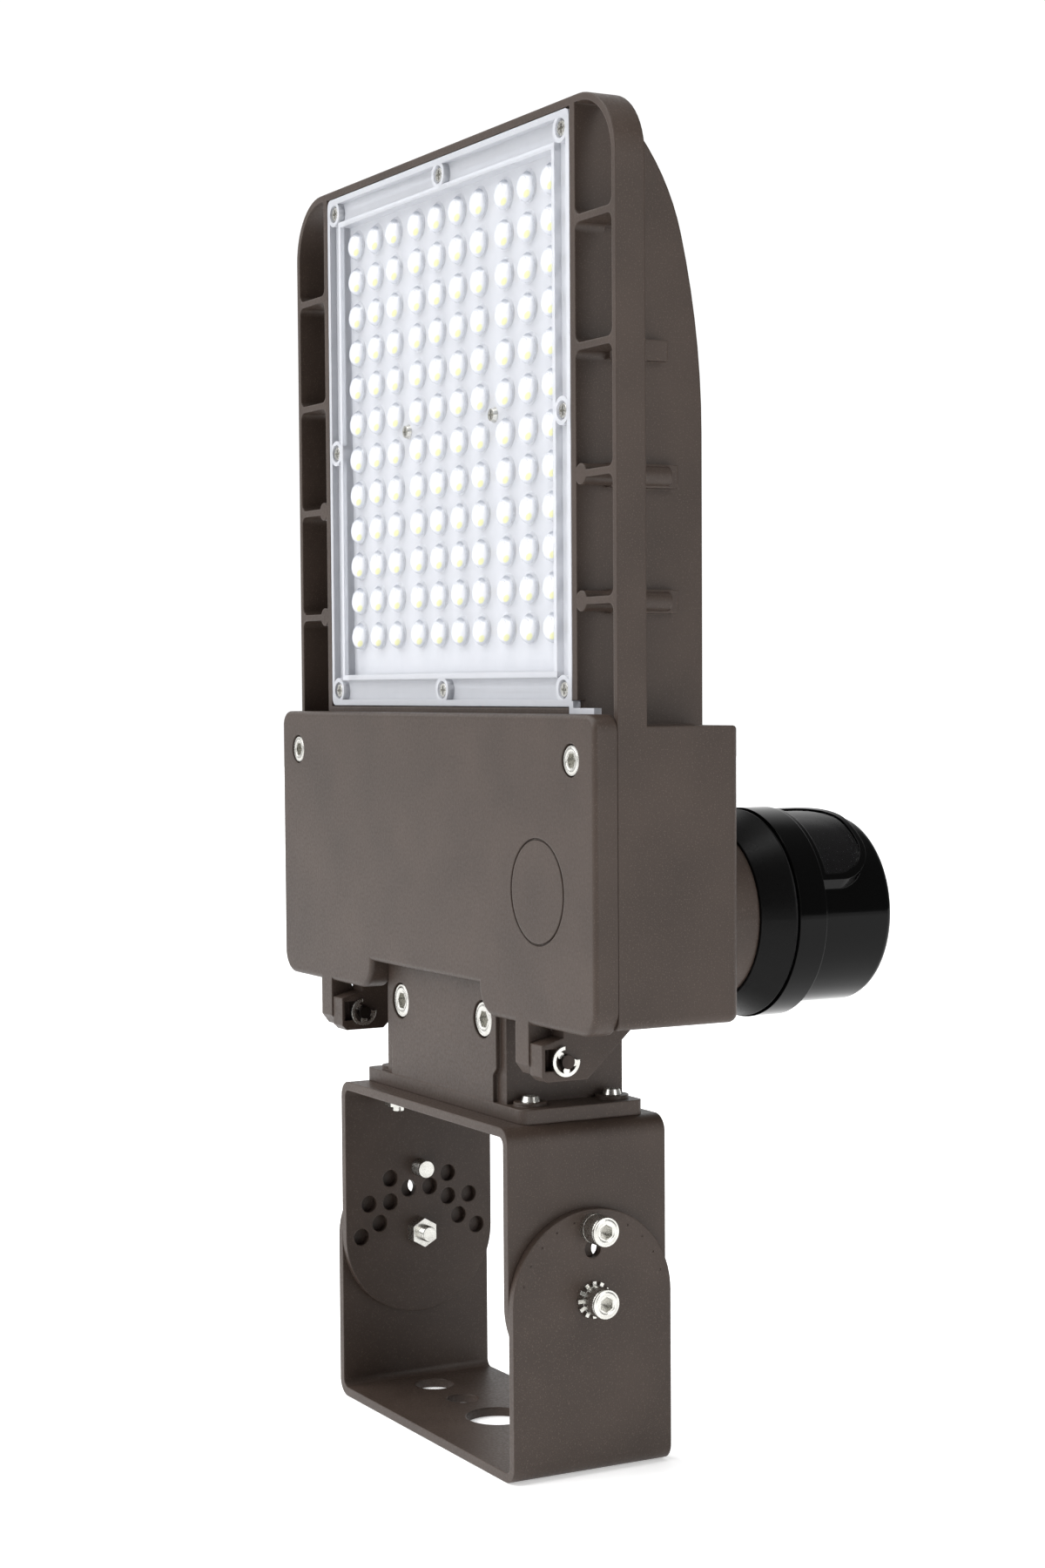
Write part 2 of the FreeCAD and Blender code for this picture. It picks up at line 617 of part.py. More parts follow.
def make_yoke_fasteners():
    """Pivot screws with washers and nuts, and the two tilt locking screws."""
    screws, washers, nuts, locks, lock_washers, studs = [], [], [], [], [], []
    for side in ("+", "-"):
        sign = "" if side == "+" else "-"
        other = "-" if side == "+" else "+"
        seat = f"{sign}({LEG_OUT} + washer_thick)"
        inner = f"{sign}({UPPER_IN})"
        reach = "washer_thick + 2 * yoke_sheet + leg_play + nut_high + stud_reach"
        screws.append(cap_screw("X", side, (0, "pivot_z"), seat, "cap", reach))
        washers.append(tooth_washer(side))
        nut = hexagon("X", (0, "pivot_z"), sized((inner, other, "nut_high")), "nut_r")
        bore = rod("X", (0, "pivot_z"), sized((inner, other, "nut_high + 1")), "cap_shank_r")
        nuts.append(cut(nut, bore))
        lock_centre = (0, "pivot_z + arc_far")
        short = "washer_thick + yoke_sheet"
        locks.append(cap_screw("X", side, lock_centre, seat, "cap", short))
        plain = rod("X", lock_centre, sized((f"{sign}{LEG_OUT}", side, "washer_thick")), "washer_r")
        hole = rod("X", lock_centre, sized((f"{sign}{LEG_OUT}", side, "washer_thick + 1")), "cap_shank_r")
        lock_washers.append(cut(plain, hole))
        stud_span = sized((f"{sign}({UPPER_OUT})", other, "yoke_sheet + lock_reach"))
        studs.append(rod("X", lock_centre, stud_span, "index_r"))
    node("pivot_screws", group(*screws))
    node("pivot_lock_washers", group(*washers))
    node("pivot_nuts", group(*nuts))
    node("tilt_lock_screws", group(*locks))
    node("tilt_lock_washers", group(*lock_washers))
    node("tilt_lock_studs", group(*studs))


# ---------------------------------------------------------------- adapter
FOOT_TOP = f"{YOKE_TOP} + foot_thick"
TENON_FRONT = "front_y + neck_plate + slip_gap"
TENON_BACK = "neck_back - neck_wall - slip_gap"
TENON_HALF = f"{NECK_HALF} - neck_wall - slip_gap"
NECK_SEAT = "pad_front + neck_head_high + 0.6"


def make_adapter():
    """The cast neck on its foot, hollow, with a tall raised pad on its front."""
    part = Sketched("slip_adapter")
    foot = rectangle((f"-{FOOT_HALF}", FOOT_HALF), ("foot_front", "foot_back"))
    part.pad("XY", (YOKE_TOP, FOOT_TOP), [foot])
    part.round("foot_corner_r", lambda middle, direction: abs(direction.z) > 0.99)
    part.pad("XY", (YOKE_TOP, "box_bottom - slip_gap"),
             [rectangle((f"-{NECK_HALF}", NECK_HALF), ("front_y", "neck_back"))])
    slim = f"{PAD_HALF} - pad_slim"
    plate = [
        (f"-({slim})", FOOT_TOP), (slim, FOOT_TOP), (slim, "pad_slim_z"),
        (PAD_HALF, "pad_slim_z + pad_slim"), (PAD_HALF, "neck_top_z"), (f"-{PAD_HALF}", "neck_top_z"),
        (f"-{PAD_HALF}", "pad_slim_z + pad_slim"), (f"-({slim})", "pad_slim_z"),
    ]
    part.pad("XZ", ("pad_front", "front_y"), [plate])
    part.pad("XY", (YOKE_TOP, f"{FOOT_TOP} + foot_boss_high"),
             circles=[(place, "foot_boss_r") for place in FOOT_SCREWS])
    hollow = rectangle((f"-{NECK_HALF} + neck_wall", f"{NECK_HALF} - neck_wall"),
                       ("front_y + neck_plate", "neck_back - neck_wall"))
    part.pocket("XY", (f"{YOKE_TOP} - 1", "box_bottom + 1"), [hollow])
    part.pocket("XY", (f"{YOKE_TOP} - 1", f"{FOOT_TOP} + foot_boss_high + 1"),
                circles=[(place, "foot_screw_r + 0.1") for place in FOOT_SCREWS])
    places = [(f"{side}{NECK_SCREW_X}", "neck_screw_z") for side in ("-", "")]
    part.pocket("XZ", ("pad_front - 1", NECK_SEAT),
                circles=[(place, "neck_head_r + 0.8") for place in places])
    part.pocket("XZ", ("pad_front - 1", "front_y + neck_plate + 1"),
                circles=[(place, "neck_shank_r + 0.15") for place in places])


def make_adapter_fasteners():
    """Four screws and nuts through foot and yoke, and two screws into the tenon."""
    screws, nuts = [], []
    under_plate = f"{YOKE_TOP} - yoke_sheet"
    seat = f"{FOOT_TOP} + foot_boss_high"
    reach = "foot_boss_high + foot_thick + yoke_sheet + foot_nut_high + 2"
    for place in FOOT_SCREWS:
        head = ("foot_head_r", "foot_head_high")
        screws.append(cross_screw("Z", "+", place, seat, *head, "foot_screw_r", reach))
        nut = hexagon("Z", place, (f"{under_plate} - foot_nut_high", under_plate), "foot_nut_r")
        bore = rod("Z", place, (f"{under_plate} - foot_nut_high - 1", under_plate), "foot_screw_r")
        nuts.append(cut(nut, bore))
    node("foot_screws", group(*screws))
    node("foot_nuts", group(*nuts))
    caps = []
    for side in ("-", ""):
        centre = (f"{side}{NECK_SCREW_X}", "neck_screw_z")
        caps.append(cap_screw("Y", "-", centre, NECK_SEAT, "neck_head", "neck_screw_long"))
    node("neck_screws", group(*caps))


# ---------------------------------------------------------------- housing
def sink_profile(front, start_z, thickness_back=0.0):
    """Side outline of the heat-sink between a front plane and its curved back, as a face at X = 0."""
    back = VALUE["sink_back"] - thickness_back
    bend_z = VALUE["top_z"] - VALUE["sink_bend_drop"]
    low_r = VALUE["sink_arc_low"] - thickness_back
    top_r = VALUE["sink_arc_top"] - thickness_back
    turn = math.radians(VALUE["sink_arc_angle"])
    top = VALUE["top_z"] - thickness_back

    def low_arc(angle):
        return V(0, back - low_r * (1 - math.cos(angle)), bend_z + low_r * math.sin(angle))

    knee = low_arc(turn)
    centre_y = knee.y - top_r * math.cos(turn)
    centre_z = knee.z - top_r * math.sin(turn)

    def top_arc(angle):
        return V(0, centre_y + top_r * math.cos(angle), centre_z + top_r * math.sin(angle))

    last = math.asin((top - centre_z) / top_r)
    edges = [
        Part.LineSegment(V(0, back, start_z), low_arc(0)).toShape(),
        Part.Arc(low_arc(0), low_arc(turn / 2), knee).toShape(),
        Part.Arc(knee, top_arc((turn + last) / 2), top_arc(last)).toShape(),
        Part.LineSegment(top_arc(last), V(0, front, top)).toShape(),
        Part.LineSegment(V(0, front, top), V(0, front, start_z)).toShape(),
        Part.LineSegment(V(0, front, start_z), V(0, back, start_z)).toShape(),
    ]
    return Part.Face(Part.Wire(edges))


def slab(face, x_low, x_high):
    """The face at X = 0 thickened between two X planes."""
    solid = face.extrude(V(x_high - x_low, 0, 0))
    solid.translate(V(x_low, 0, 0))
    return solid


def make_fins():
    """The heat-sink: a thick plate with upright fins behind it."""
    half = VALUE["sink_half"]
    block = slab(sink_profile(VALUE["front_y"], VALUE["box_top"] - 1), -half, half)
    plate_back = VALUE["sink_floor"] + VALUE["sink_plate"]
    gaps = []
    count = int((half - VALUE["rail_wall"]) / VALUE["fin_pitch"])
    reach = sink_profile(plate_back, VALUE["box_top"], -2.0)
    places = [k * VALUE["fin_pitch"] for k in range(-count, count + 1)]
    edges = [-half + VALUE["rail_wall"]] + places + [half - VALUE["rail_wall"]]
    thick = VALUE["fin_thick"] / 2
    for low, high in zip(edges, edges[1:]):
        start = low if low == edges[0] else low + thick
        stop = high if high == edges[-1] else high - thick
        if stop - start > 3.0:
            gaps.append(slab(reach, start, stop))
    return shaped(block.cut(gaps), "HeatSink")


def make_rails():
    """Outer frame of the housing: two rails and a top bar in one hoop."""
    back = "front_y + rail_deep"
    hoop = box(("-body_half", "body_half"), ("front_y", back), ("box_top - 1", "top_z"))
    half = VALUE["body_half"]

    def top_corner(middle, direction):
        return abs(direction.y) > 0.99 and near(abs(middle.x), half) and near(middle.z, VALUE["top_z"])

    hoop = rounded(hoop, VALUE["corner_r"], top_corner)
    inner = box(("-body_half + rail_wall", "body_half - rail_wall"),
                ("front_y - 1", f"{back} + 1"), ("box_top - 2", "top_z - rail_wall"))
    inner_half = half - VALUE["rail_wall"]

    def inner_corner(middle, direction):
        low = VALUE["top_z"] - VALUE["rail_wall"]
        return abs(direction.y) > 0.99 and near(abs(middle.x), inner_half) and near(middle.z, low)

    inner = rounded(inner, VALUE["corner_r"] - VALUE["rail_wall"], inner_corner)
    return cut(hoop, inner)


def inside_corner(wall, open_x, face, open_z):
    """The rounded corner between a wall at X and a bridge's face at Z; open_x and open_z are + or -."""
    def reach(start, way, length):
        return f"({start}) {way} {length}"

    def span(start, way):
        ends = (reach(start, "-" if way == "+" else "+", "0.5"), reach(start, way, "slot_r"))
        return ends if way == "+" else ends[::-1]

    block = box(span(wall, open_x), ("front_y", "front_y + rail_deep"), span(face, open_z))
    centre = (reach(wall, open_x, "slot_r"), reach(face, open_z, "slot_r"))
    return cut(block, rod("Y", centre, ("front_y - 1", "front_y + rail_deep + 1"), "slot_r"))


def bridge_corners(side, level):
    """The rounded corners round one bridge; a boss takes the place of those at the heat-sink."""
    inward, outward = ("+", "-") if side else ("-", "+")
    walls = [(f"{side}(body_half - rail_wall)", inward)]
    if level > 1:
        walls.append((f"{side}sink_half", outward))
    z = f"rib_first_z + {level} * rib_pitch"
    return [inside_corner(wall, open_x, f"{z} {way} rib_thick / 2", way)
            for wall, open_x in walls for way in ("+", "-")]


def make_bridges():
    """Four bridges a side between heat-sink and rails; the lower two carry round bosses."""
    parts = []
    back = "front_y + rail_deep"
    for side in ("-", ""):
        for level in range(4):
            z = f"rib_first_z + {level} * rib_pitch"
            wide = ("-body_half + 1", "-sink_half + 1") if side else ("sink_half - 1", "body_half - 1")
            span = (f"{z} - rib_thick / 2", f"{z} + rib_thick / 2")
            parts.append(box(wide, ("front_y", back), span))
            tail = ("rib_tail", "rib_tail", "rib_tail - 4", "rib_tail - 14")[level]
            bulk = ("rib_stub", "rib_stub", "rib_stub - 1", "rib_thick")[level]
            short = ("-sink_half - 4", "-sink_half + 1") if side else ("sink_half - 1", "sink_half + 4")
            stub = (f"{z} - ({bulk}) / 2", f"{z} + ({bulk}) / 2")
            parts.append(box(short, (back, f"{back} + {tail}"), stub))
            parts.append(box(short, ("front_y", back), span))
            parts += bridge_corners(side, level)
            if level < 2:
                centre = (f"{side}(sink_half + 3)", z)
                parts.append(rod("Y", centre, ("front_y", f"{back} + {tail} - 4"), "rib_boss_r"))
    return parts


def make_lug(shift, moved):
    """A hinge lug under the driver box: a gusset plate with a pocket for the pin's end."""
    low = f"arm_x + arm_wide + lug_gap - ({shift})"
    high = f"{low} + lug_wide"
    left = VALUE["arm_x"] + VALUE["arm_wide"] + VALUE["lug_gap"] - moved
    corners = [
        V(left, VALUE["lug_front"] + 9, VALUE["box_bottom"] + 2),
        V(left, VALUE["lug_front"] + 9, VALUE["pin_z"] + 8.5),
        V(left, VALUE["lug_front"], VALUE["pin_z"] + 6.0),
        V(left, VALUE["lug_front"], VALUE["lug_bottom"] + 2),
        V(left, VALUE["lug_front"] + 2, VALUE["lug_bottom"]),
        V(left, VALUE["lug_toe"], VALUE["lug_bottom"]),
        V(left, VALUE["lug_back"], VALUE["box_bottom"]),
        V(left, VALUE["lug_back"], VALUE["box_bottom"] + 2),
    ]
    plate = Part.Face(Part.makePolygon(corners + corners[:1])).extrude(V(VALUE["lug_wide"], 0, 0))
    floor = f"{high} - 6"
    pocket = box((floor, f"{high} + 1"), ("lug_front + 1.2", "pin_y - pin_r - 0.7"),
                 ("pin_z - 3.4", "pin_z + 4.6"))
    hole = rod("X", ("pin_y", "pin_z"), (f"{low} - 1", f"{high} + 1"), "pin_r")
    return shaped(plate, "Lug"), [pocket, hole]


def make_housing():
    """The die-cast housing: heat-sink, rails, driver box, lugs, tenon and photocell boss."""
    shell = box(("-body_half", "body_half"), ("front_y", "box_back"), ("box_bottom", "box_top"))
    half, back = VALUE["body_half"], VALUE["box_back"]

    def outer_edge(middle, direction):
        at_side = near(abs(middle.x), half)
        at_ends = near(middle.z, VALUE["box_bottom"]) or near(middle.z, VALUE["box_top"])
        at_back = near(middle.y, back)
        return (at_back and (at_side or at_ends)) or (at_side and near(middle.z, VALUE["box_bottom"]))

    shell = rounded(shell, VALUE["box_edge_r"], outer_edge)
    deep = box(("-body_half + box_wall", "body_half - box_wall"),
               ("front_y + flange_deep", "box_back - box_wall"),
               ("box_bottom + box_wall", "box_top - box_wall"))
    mouth = box(("-body_half + flange_wide", "body_half - flange_wide"),
                ("front_y - 1", "front_y + flange_deep + 1"),
                ("notch_top + door_wall + 4", "box_top - flange_wide"))
    added = []
    for side in ("-", ""):
        centre = (f"{side}({DOOR_SCREW_X})", "door_screw_z")
        added.append(rod("Y", centre, ("front_y", "box_back - 1"), "door_shank_r + 3.2"))
    added.append(rod("Y", ("eye_x", "eye_z"), ("box_back - 1", "eye_boss_end"), "eye_boss_r"))
    added.append(box((f"-({TENON_HALF})", TENON_HALF), (TENON_FRONT, TENON_BACK),
                     ("tenon_bottom", "box_bottom + 1")))
    removed = []
    for side in ("-", ""):
        centre = (f"{side}({DOOR_SCREW_X})", "door_screw_z")
        removed.append(rod("Y", centre, ("front_y - 1", "front_y + 14"), "door_shank_r + 0.8"))
        low = f"{side}{NECK_SCREW_X}"
        removed.append(rod("Y", (low, "neck_screw_z"), (TENON_FRONT, f"{NECK_SEAT} + neck_screw_long + 0.4"),
                           "neck_shank_r"))
        removed.append(rod("Y", (low, "neck_screw_z"), ("front_y - 1", f"{NECK_SEAT} + 0.3"),
                           "neck_head_r + 0.8"))
    eye = ("eye_x", "eye_z")
    removed.append(rod("Y", eye, ("box_back + 2", "eye_boss_end + 1"), "eye_boss_r - eye_boss_wall"))
    removed.append(rod("Y", eye, ("box_back - box_wall - 1", "box_back + 3"), "blade_ring_r + 5"))
    removed.append(box((f"-{NECK_SCREW_X} + 9", f"{NECK_SCREW_X} - 9"),
                       (f"{TENON_FRONT} + tenon_wall", f"{TENON_BACK} - tenon_wall"),
                       ("tenon_bottom - 1", "box_bottom + box_wall + 1")))
    chamber = box(("-lens_half - lens_gap", "lens_half + lens_gap"), ("front_y - 1", "sink_floor"),
                  ("lens_low - lens_gap", "lens_high + lens_gap"))
    removed.append(chamber)
    lead_top = "lens_low + board_edge + 6"
    removed.append(rod("Z", ("lamp_lead_x", "lamp_lead_y"), ("box_top - box_wall - 1", lead_top),
                       "grommet_r - 1"))
    removed.append(rod("Z", GROUND_SCREW, ("box_bottom + box_wall - 2.8", "box_bottom + box_wall + 1"), "2.0"))
    removed.append(box(("lens_half - 2.3", "sink_half + 1"), ("front_y - 1", "front_y + 3.3"),
                       ("lens_low - 3.8", "lens_low + 2.3")))
    for x, z in lens_screw_places():
        removed.append(rod("Y", (x, z), ("sink_floor - 1", "sink_floor + sink_plate - 0.8"), "lens_screw_r"))
    for place in BOARD_SCREWS:
        removed.append(rod("Y", place, ("sink_floor - 1", "sink_floor + sink_plate - 0.8"), "lens_screw_r"))
    for shift, moved in HINGES.items():
        lug, lug_cuts = make_lug(shift, moved)
        added.append(lug)
        removed += lug_cuts
    hull = cut(shell, deep, mouth)
    whole = join(hull, make_fins(), make_rails(), *make_bridges(), *added)
    node("housing", cut(whole, *removed))


# ---------------------------------------------------------------- lens and lamps
FIELD_Y = "front_y + lens_rim_high"
DOOR_SCREW_X = "body_half - door_screw_in"
GROUND_SCREW = ("-block_high", "-4")
DRIVER_TOP = "box_top - driver_drop"
BOARD_SCREWS = [(f"{side}board_screw_x", "lamp_top_z - 5.5 * lamp_pitch_z") for side in ("-", "")]
HINGES = {"hinge_shift": VALUE["hinge_shift"], "0": 0.0}
COLUMN_RANKS = (-4.5, -3.5, -2.5, -1.5, -0.5, 0.5, 1.5, 2.5, 3.5, 4.5)
ROWS = 12


def column_x(rank):
    """Place of a column of lamps; the outer three each side stand off by a group gap."""
    extra = 0.0 if abs(rank) < 2 else math.copysign(VALUE["group_gap"], rank)
    return rank * VALUE["lamp_pitch_x"] + extra


def lamp_places():
    """Every lamp's place across and up."""
    for row in range(ROWS):
        for rank in COLUMN_RANKS:
            yield column_x(rank), VALUE["lamp_top_z"] - row * VALUE["lamp_pitch_z"]


def lens_screw_places():
    """Eight screws round the lens: its corners and the middle of each side."""
    side = "(lens_half - lens_screw_in)"
    low, high = "lens_low + lens_screw_in", "lens_high - lens_screw_in"
    middle = "(lens_low + lens_high) / 2"
    return [
        (f"-{side}", low), (f"-{side}", middle), (f"-{side}", high),
        (side, low), (side, middle), (side, high), (0, low), (0, high),
    ]


def make_lens():
    """The moulded optical cover: a tray with a raised rim, screw bosses and 120 optics."""
    plate = box(("-lens_half", "lens_half"), ("front_y", f"{FIELD_Y} + lens_plate"),
                ("lens_low", "lens_high"))
    lens_half = VALUE["lens_half"]
    plate = rounded(plate, VALUE["lens_corner_r"],
                    lambda middle, direction: abs(direction.y) > 0.99 and near(abs(middle.x), lens_half))
    field = box(("-lens_half + lens_rim", "lens_half - lens_rim"), ("front_y - 1", FIELD_Y),
                ("lens_low + lens_rim", "lens_high - lens_rim"))
    trough = cut(
        box(("-lens_half + 2.4", "lens_half - 2.4"), ("front_y - 1", "front_y + lens_rim_high * 0.6"),
            ("lens_low + 2.4", "lens_high - 2.4")),
        box(("-lens_half + lens_rim - 2.2", "lens_half - lens_rim + 2.2"), ("front_y - 2", FIELD_Y),
            ("lens_low + lens_rim - 2.2", "lens_high - lens_rim + 2.2")),
        *[rod("Y", place, ("front_y - 2", FIELD_Y), "lens_boss_r") for place in lens_screw_places()],
    )
    doc.recompute()
    field_y = VALUE["front_y"] + VALUE["lens_rim_high"]
    optics = []
    for x, z in lamp_places():
        optics.append(Part.makeCone(VALUE["optic_r"], VALUE["optic_top_r"], VALUE["optic_high"] + 0.2,
                                    V(x, field_y + 0.2, z), V(0, -1, 0)))
    tray = cut(plate, field, trough)
    doc.recompute()
    domed = shaped(tray.Shape.multiFuse(optics), "Domed")
    tab_deep = ("front_y", "front_y + 3")
    tab = box(("lens_half - 2", "lens_half + 15.5"), tab_deep, ("lens_low - 3.4", "lens_low - 0.4"))
    foot = box(("lens_half - 2", "lens_half + 1"), tab_deep, ("lens_low - 1", "lens_low + 2"))
    drills = [rod("Y", place, ("front_y - 1", f"{FIELD_Y} + lens_plate + 1"), "lens_screw_r + 0.1")
              for place in lens_screw_places()]
    drills += [rod("Y", place, (f"{FIELD_Y} - 1", f"{FIELD_Y} + lens_plate + 1"), "lens_screw_r + 0.1")
               for place in BOARD_SCREWS]
    sinks = [rod("Y", place, ("front_y - 1", "front_y + lens_head_high"), "lens_head_r + 0.3")
             for place in lens_screw_places()]
    node("lens", cut(join(domed, tab, foot), *drills, *sinks))


def make_lamps():
    """Lamp board, lamps, gasket and the screws of board and lens."""
    plate_back = f"{FIELD_Y} + lens_plate"
    frame = box(("-lens_half", "lens_half"), (plate_back, "sink_floor"), ("lens_low", "lens_high"))
    through = (f"{plate_back} - 1", "sink_floor + 1")
    hole = box(("-lens_half + gasket_wide + 4", "lens_half - gasket_wide - 4"), through,
               ("lens_low + gasket_wide + 4", "lens_high - gasket_wide - 4"))
    drills = [rod("Y", place, through, "lens_screw_r + 0.1")
              for place in lens_screw_places()]
    node("lens_gasket", cut(frame, hole, *drills))
    board = box(("-lens_half + board_edge", "lens_half - board_edge"),
                ("sink_floor - board_thick", "sink_floor"),
                ("lens_low + board_edge", "lens_high - board_edge"))
    board_holes = [rod("Y", place, ("sink_floor - 9", "sink_floor + 1"), "lens_screw_r + 0.1")
                   for place in BOARD_SCREWS]
    node("lamp_board", cut(board, *board_holes))
    doc.recompute()
    side, thick = VALUE["lamp_side"], VALUE["lamp_thick"]
    face = VALUE["sink_floor"] - VALUE["board_thick"]
    chips = [Part.makeBox(side, thick, side, V(x - side / 2, face - thick, z - side / 2))
             for x, z in lamp_places()]
    node("lamps", shaped(Part.makeCompound(chips), "Lamps"))
    screws = [cross_screw("Y", "-", place, "front_y + lens_head_high", "lens_head_r", "lens_head_high - 0.4",
                          "lens_screw_r", "lens_screw_long + 3.5") for place in lens_screw_places()]
    node("lens_screws", group(*screws))
    reach = f"sink_floor + sink_plate - 1.4 - ({FIELD_Y})"
    fixings = [cross_screw("Y", "-", place, FIELD_Y, "board_head_r", "1.6", "lens_screw_r", reach)
               for place in BOARD_SCREWS]
    node("board_screws", group(*fixings))


# ---------------------------------------------------------------- door
def make_door():
    """The cast cover of the driver box, notched round the neck, with two hinge arms."""
    part = Sketched("driver_door")
    seam = "front_y - door_gap"
    outline = [
        ("-body_half", "door_bottom"), (f"-{NOTCH_HALF}", "door_bottom"), (f"-{NOTCH_HALF}", "notch_top"),
        (NOTCH_HALF, "notch_top"), (NOTCH_HALF, "door_bottom"), ("body_half", "door_bottom"),
        ("body_half", "door_top"), ("-body_half", "door_top"),
    ]
    part.pad("XZ", ("door_front", seam), [outline])
    half = VALUE["body_half"]
    leg_inside = VALUE["lower_span"] / 2 - 2 * VALUE["yoke_sheet"] - VALUE["leg_play"]
    notch_x = leg_inside - VALUE["neck_in"] - VALUE["pad_in"] + VALUE["notch_gap"]

    def corner(across, height):
        def wanted(middle, direction):
            return abs(direction.y) > 0.99 and near(abs(middle.x), across) and near(middle.z, height)
        return wanted

    part.round("door_top_r", corner(half, VALUE["door_top"]))
    part.round("door_bottom_r", corner(half, VALUE["door_bottom"]))
    part.round("notch_top - door_bottom - 0.4", corner(notch_x, VALUE["door_bottom"]))
    part.round("door_edge_r", lambda middle, direction: near(middle.y, VALUE["door_front"]))
    hollow = [
        ("-body_half + door_wall", "notch_top + door_wall"), ("body_half - door_wall", "notch_top + door_wall"),
        ("body_half - door_wall", "door_top - door_wall"), ("-body_half + door_wall", "door_top - door_wall"),
    ]
    part.pocket("XZ", ("door_front + door_wall", f"{seam} + 1"), [hollow])
    for side in ("-", ""):
        low = ("-body_half + door_bottom_r", f"-{NOTCH_HALF} - door_bottom_r - 3") if side else \
              (f"{NOTCH_HALF} + door_bottom_r + 3", "body_half - door_bottom_r")
        part.pocket("XZ", ("door_front + door_wall", f"{seam} + 1"),
                    [rectangle(low, ("door_bottom + door_wall", "notch_top + door_wall + 1"))])
    seats = [((f"{side}({DOOR_SCREW_X})", "door_screw_z"), "door_seat_r") for side in ("-", "")]
    part.pad("XZ", ("door_front + 1", seam), circles=seats)
    screws = [(f"{side}({DOOR_SCREW_X})", "door_screw_z") for side in ("-", "")]
    part.pocket("XZ", ("door_front - 1", "door_front + door_head_high + 0.4"),
                circles=[(place, "door_head_r + 0.7") for place in screws])
    part.pocket("XZ", ("door_front - 1", f"{seam} + 1"),
                circles=[(place, "door_shank_r + 0.3") for place in screws])
    part.pocket("XZ", ("door_front - 1", "door_front + knock_line"),
                circles=[(("knock_x", "knock_z"), radius) for radius in ("knock_r", "knock_r - knock_line")])
    for shift in HINGES:
        low = f"arm_x - {shift}"
        high = f"{low} + arm_wide"
        eye = "pin_z - arm_bottom"
        arm = [("door_front", "arm_bottom + 4"), ("door_front + 3", "arm_bottom"), ("pin_y", "arm_bottom"),
               (f"pin_y + {eye}", "pin_z"), ("door_front + door_wall + 3", "door_bottom + door_wall"),
               ("door_front", "door_bottom + door_wall")]
        part.pad("YZ", (low, high), [arm])
        part.pad("YZ", (low, high), circles=[(("pin_y", "pin_z"), eye)])
        part.pocket("YZ", (f"{low} - 1", f"{high} + 1"), circles=[(("pin_y", "pin_z"), "pin_r + pin_play")])


def make_door_fittings():
    """Gasket, captive screws, hinge pins and their retaining clips."""
    seam = "front_y - door_gap"
    outer = box(("-body_half + door_wall + 0.3", "body_half - door_wall - 0.3"), ("front_y - 2.6", seam),
                ("notch_top + door_wall + 0.3", "door_top - door_wall - 0.3 - 4.4"))
    inner = box(("-body_half + flange_wide", "body_half - flange_wide"), ("front_y - 4", "front_y"),
                ("notch_top + door_wall + 4", "box_top - flange_wide"))
    clears = [rod("Y", (f"{side}({DOOR_SCREW_X})", "door_screw_z"), ("front_y - 4", "front_y + 1"),
                  "door_seat_r + 0.3") for side in ("-", "")]
    node("door_gasket", cut(outer, inner, *clears))
    for name, side in (("left", "-"), ("right", "")):
        centre = (f"{side}({DOOR_SCREW_X})", "door_screw_z")
        node(f"door_screw_{name}",
             cap_screw("Y", "-", centre, "door_front + door_head_high + 0.4", "door_head", "door_screw_long"))
    pins, clips = [], []
    for shift in HINGES:
        first = f"arm_x - {shift} - 1.6"
        clip_at = f"arm_x + arm_wide + lug_gap + lug_wide - {shift} + 0.6"
        shank = rod("X", ("pin_y", "pin_z"), (first, f"{clip_at} + clip_thick + 1.4"), "pin_r")
        head = rod("X", ("pin_y", "pin_z"), (f"{first} - 1.6", first), "pin_r + 1.8")
        groove_span = (clip_at, f"{clip_at} + clip_thick")
        groove = cut(rod("X", ("pin_y", "pin_z"), groove_span, "pin_r + 1"),
                     rod("X", ("pin_y", "pin_z"), groove_span, "pin_r - 0.6"))
        pins.append(cut(join(shank, head), groove))
        ring = rod("X", ("pin_y", "pin_z"), groove_span, "clip_r")
        bore = rod("X", ("pin_y", "pin_z"), groove_span, "clip_r - 1.3")
        mouth = box(groove_span, ("pin_y - 0.5", "pin_y + clip_r + 1"), ("pin_z + 0.4", "pin_z + clip_r + 1"))
        grips = []
        for angle in (135, 270, 350):
            reach = "(pin_r - 0.6 + 1.3)"
            place = (f"pin_y + {reach} * cos({angle})", f"pin_z + {reach} * sin({angle})")
            grips.append(rod("X", place, groove_span, "1.3"))
        clips.append(join(cut(ring, bore, mouth), *grips))
    node("hinge_pins", group(*pins))
    node("hinge_clips", group(*clips))


# ---------------------------------------------------------------- photocell
def window_block(half, y, rise, corner):
    """A block that points out of the photocell towards its window, its far corners rounded."""
    turn = "window_turn"
    block = box((f"-({half})", half), (y[0], y[1]), (rise[0], rise[1]))
    block.Placement = FreeCAD.Placement(V(), FreeCAD.Rotation(V(0, 1, 0), VALUE["window_turn"]))
    bind(
        block,
        Base_x=f"eye_x - ({half}) * cos({turn}) + ({rise[0]}) * sin({turn})",
        Base_z=f"eye_z + ({half}) * sin({turn}) + ({rise[0]}) * cos({turn})",
    )
    doc.recompute()
    far = block.Shape.BoundBox.YMax
    return rounded(block, corner, lambda middle, direction: abs(direction.y) < 0.01 and near(middle.y, far)
                   and abs(direction.z - math.cos(math.radians(VALUE["window_turn"]))) < 0.01)


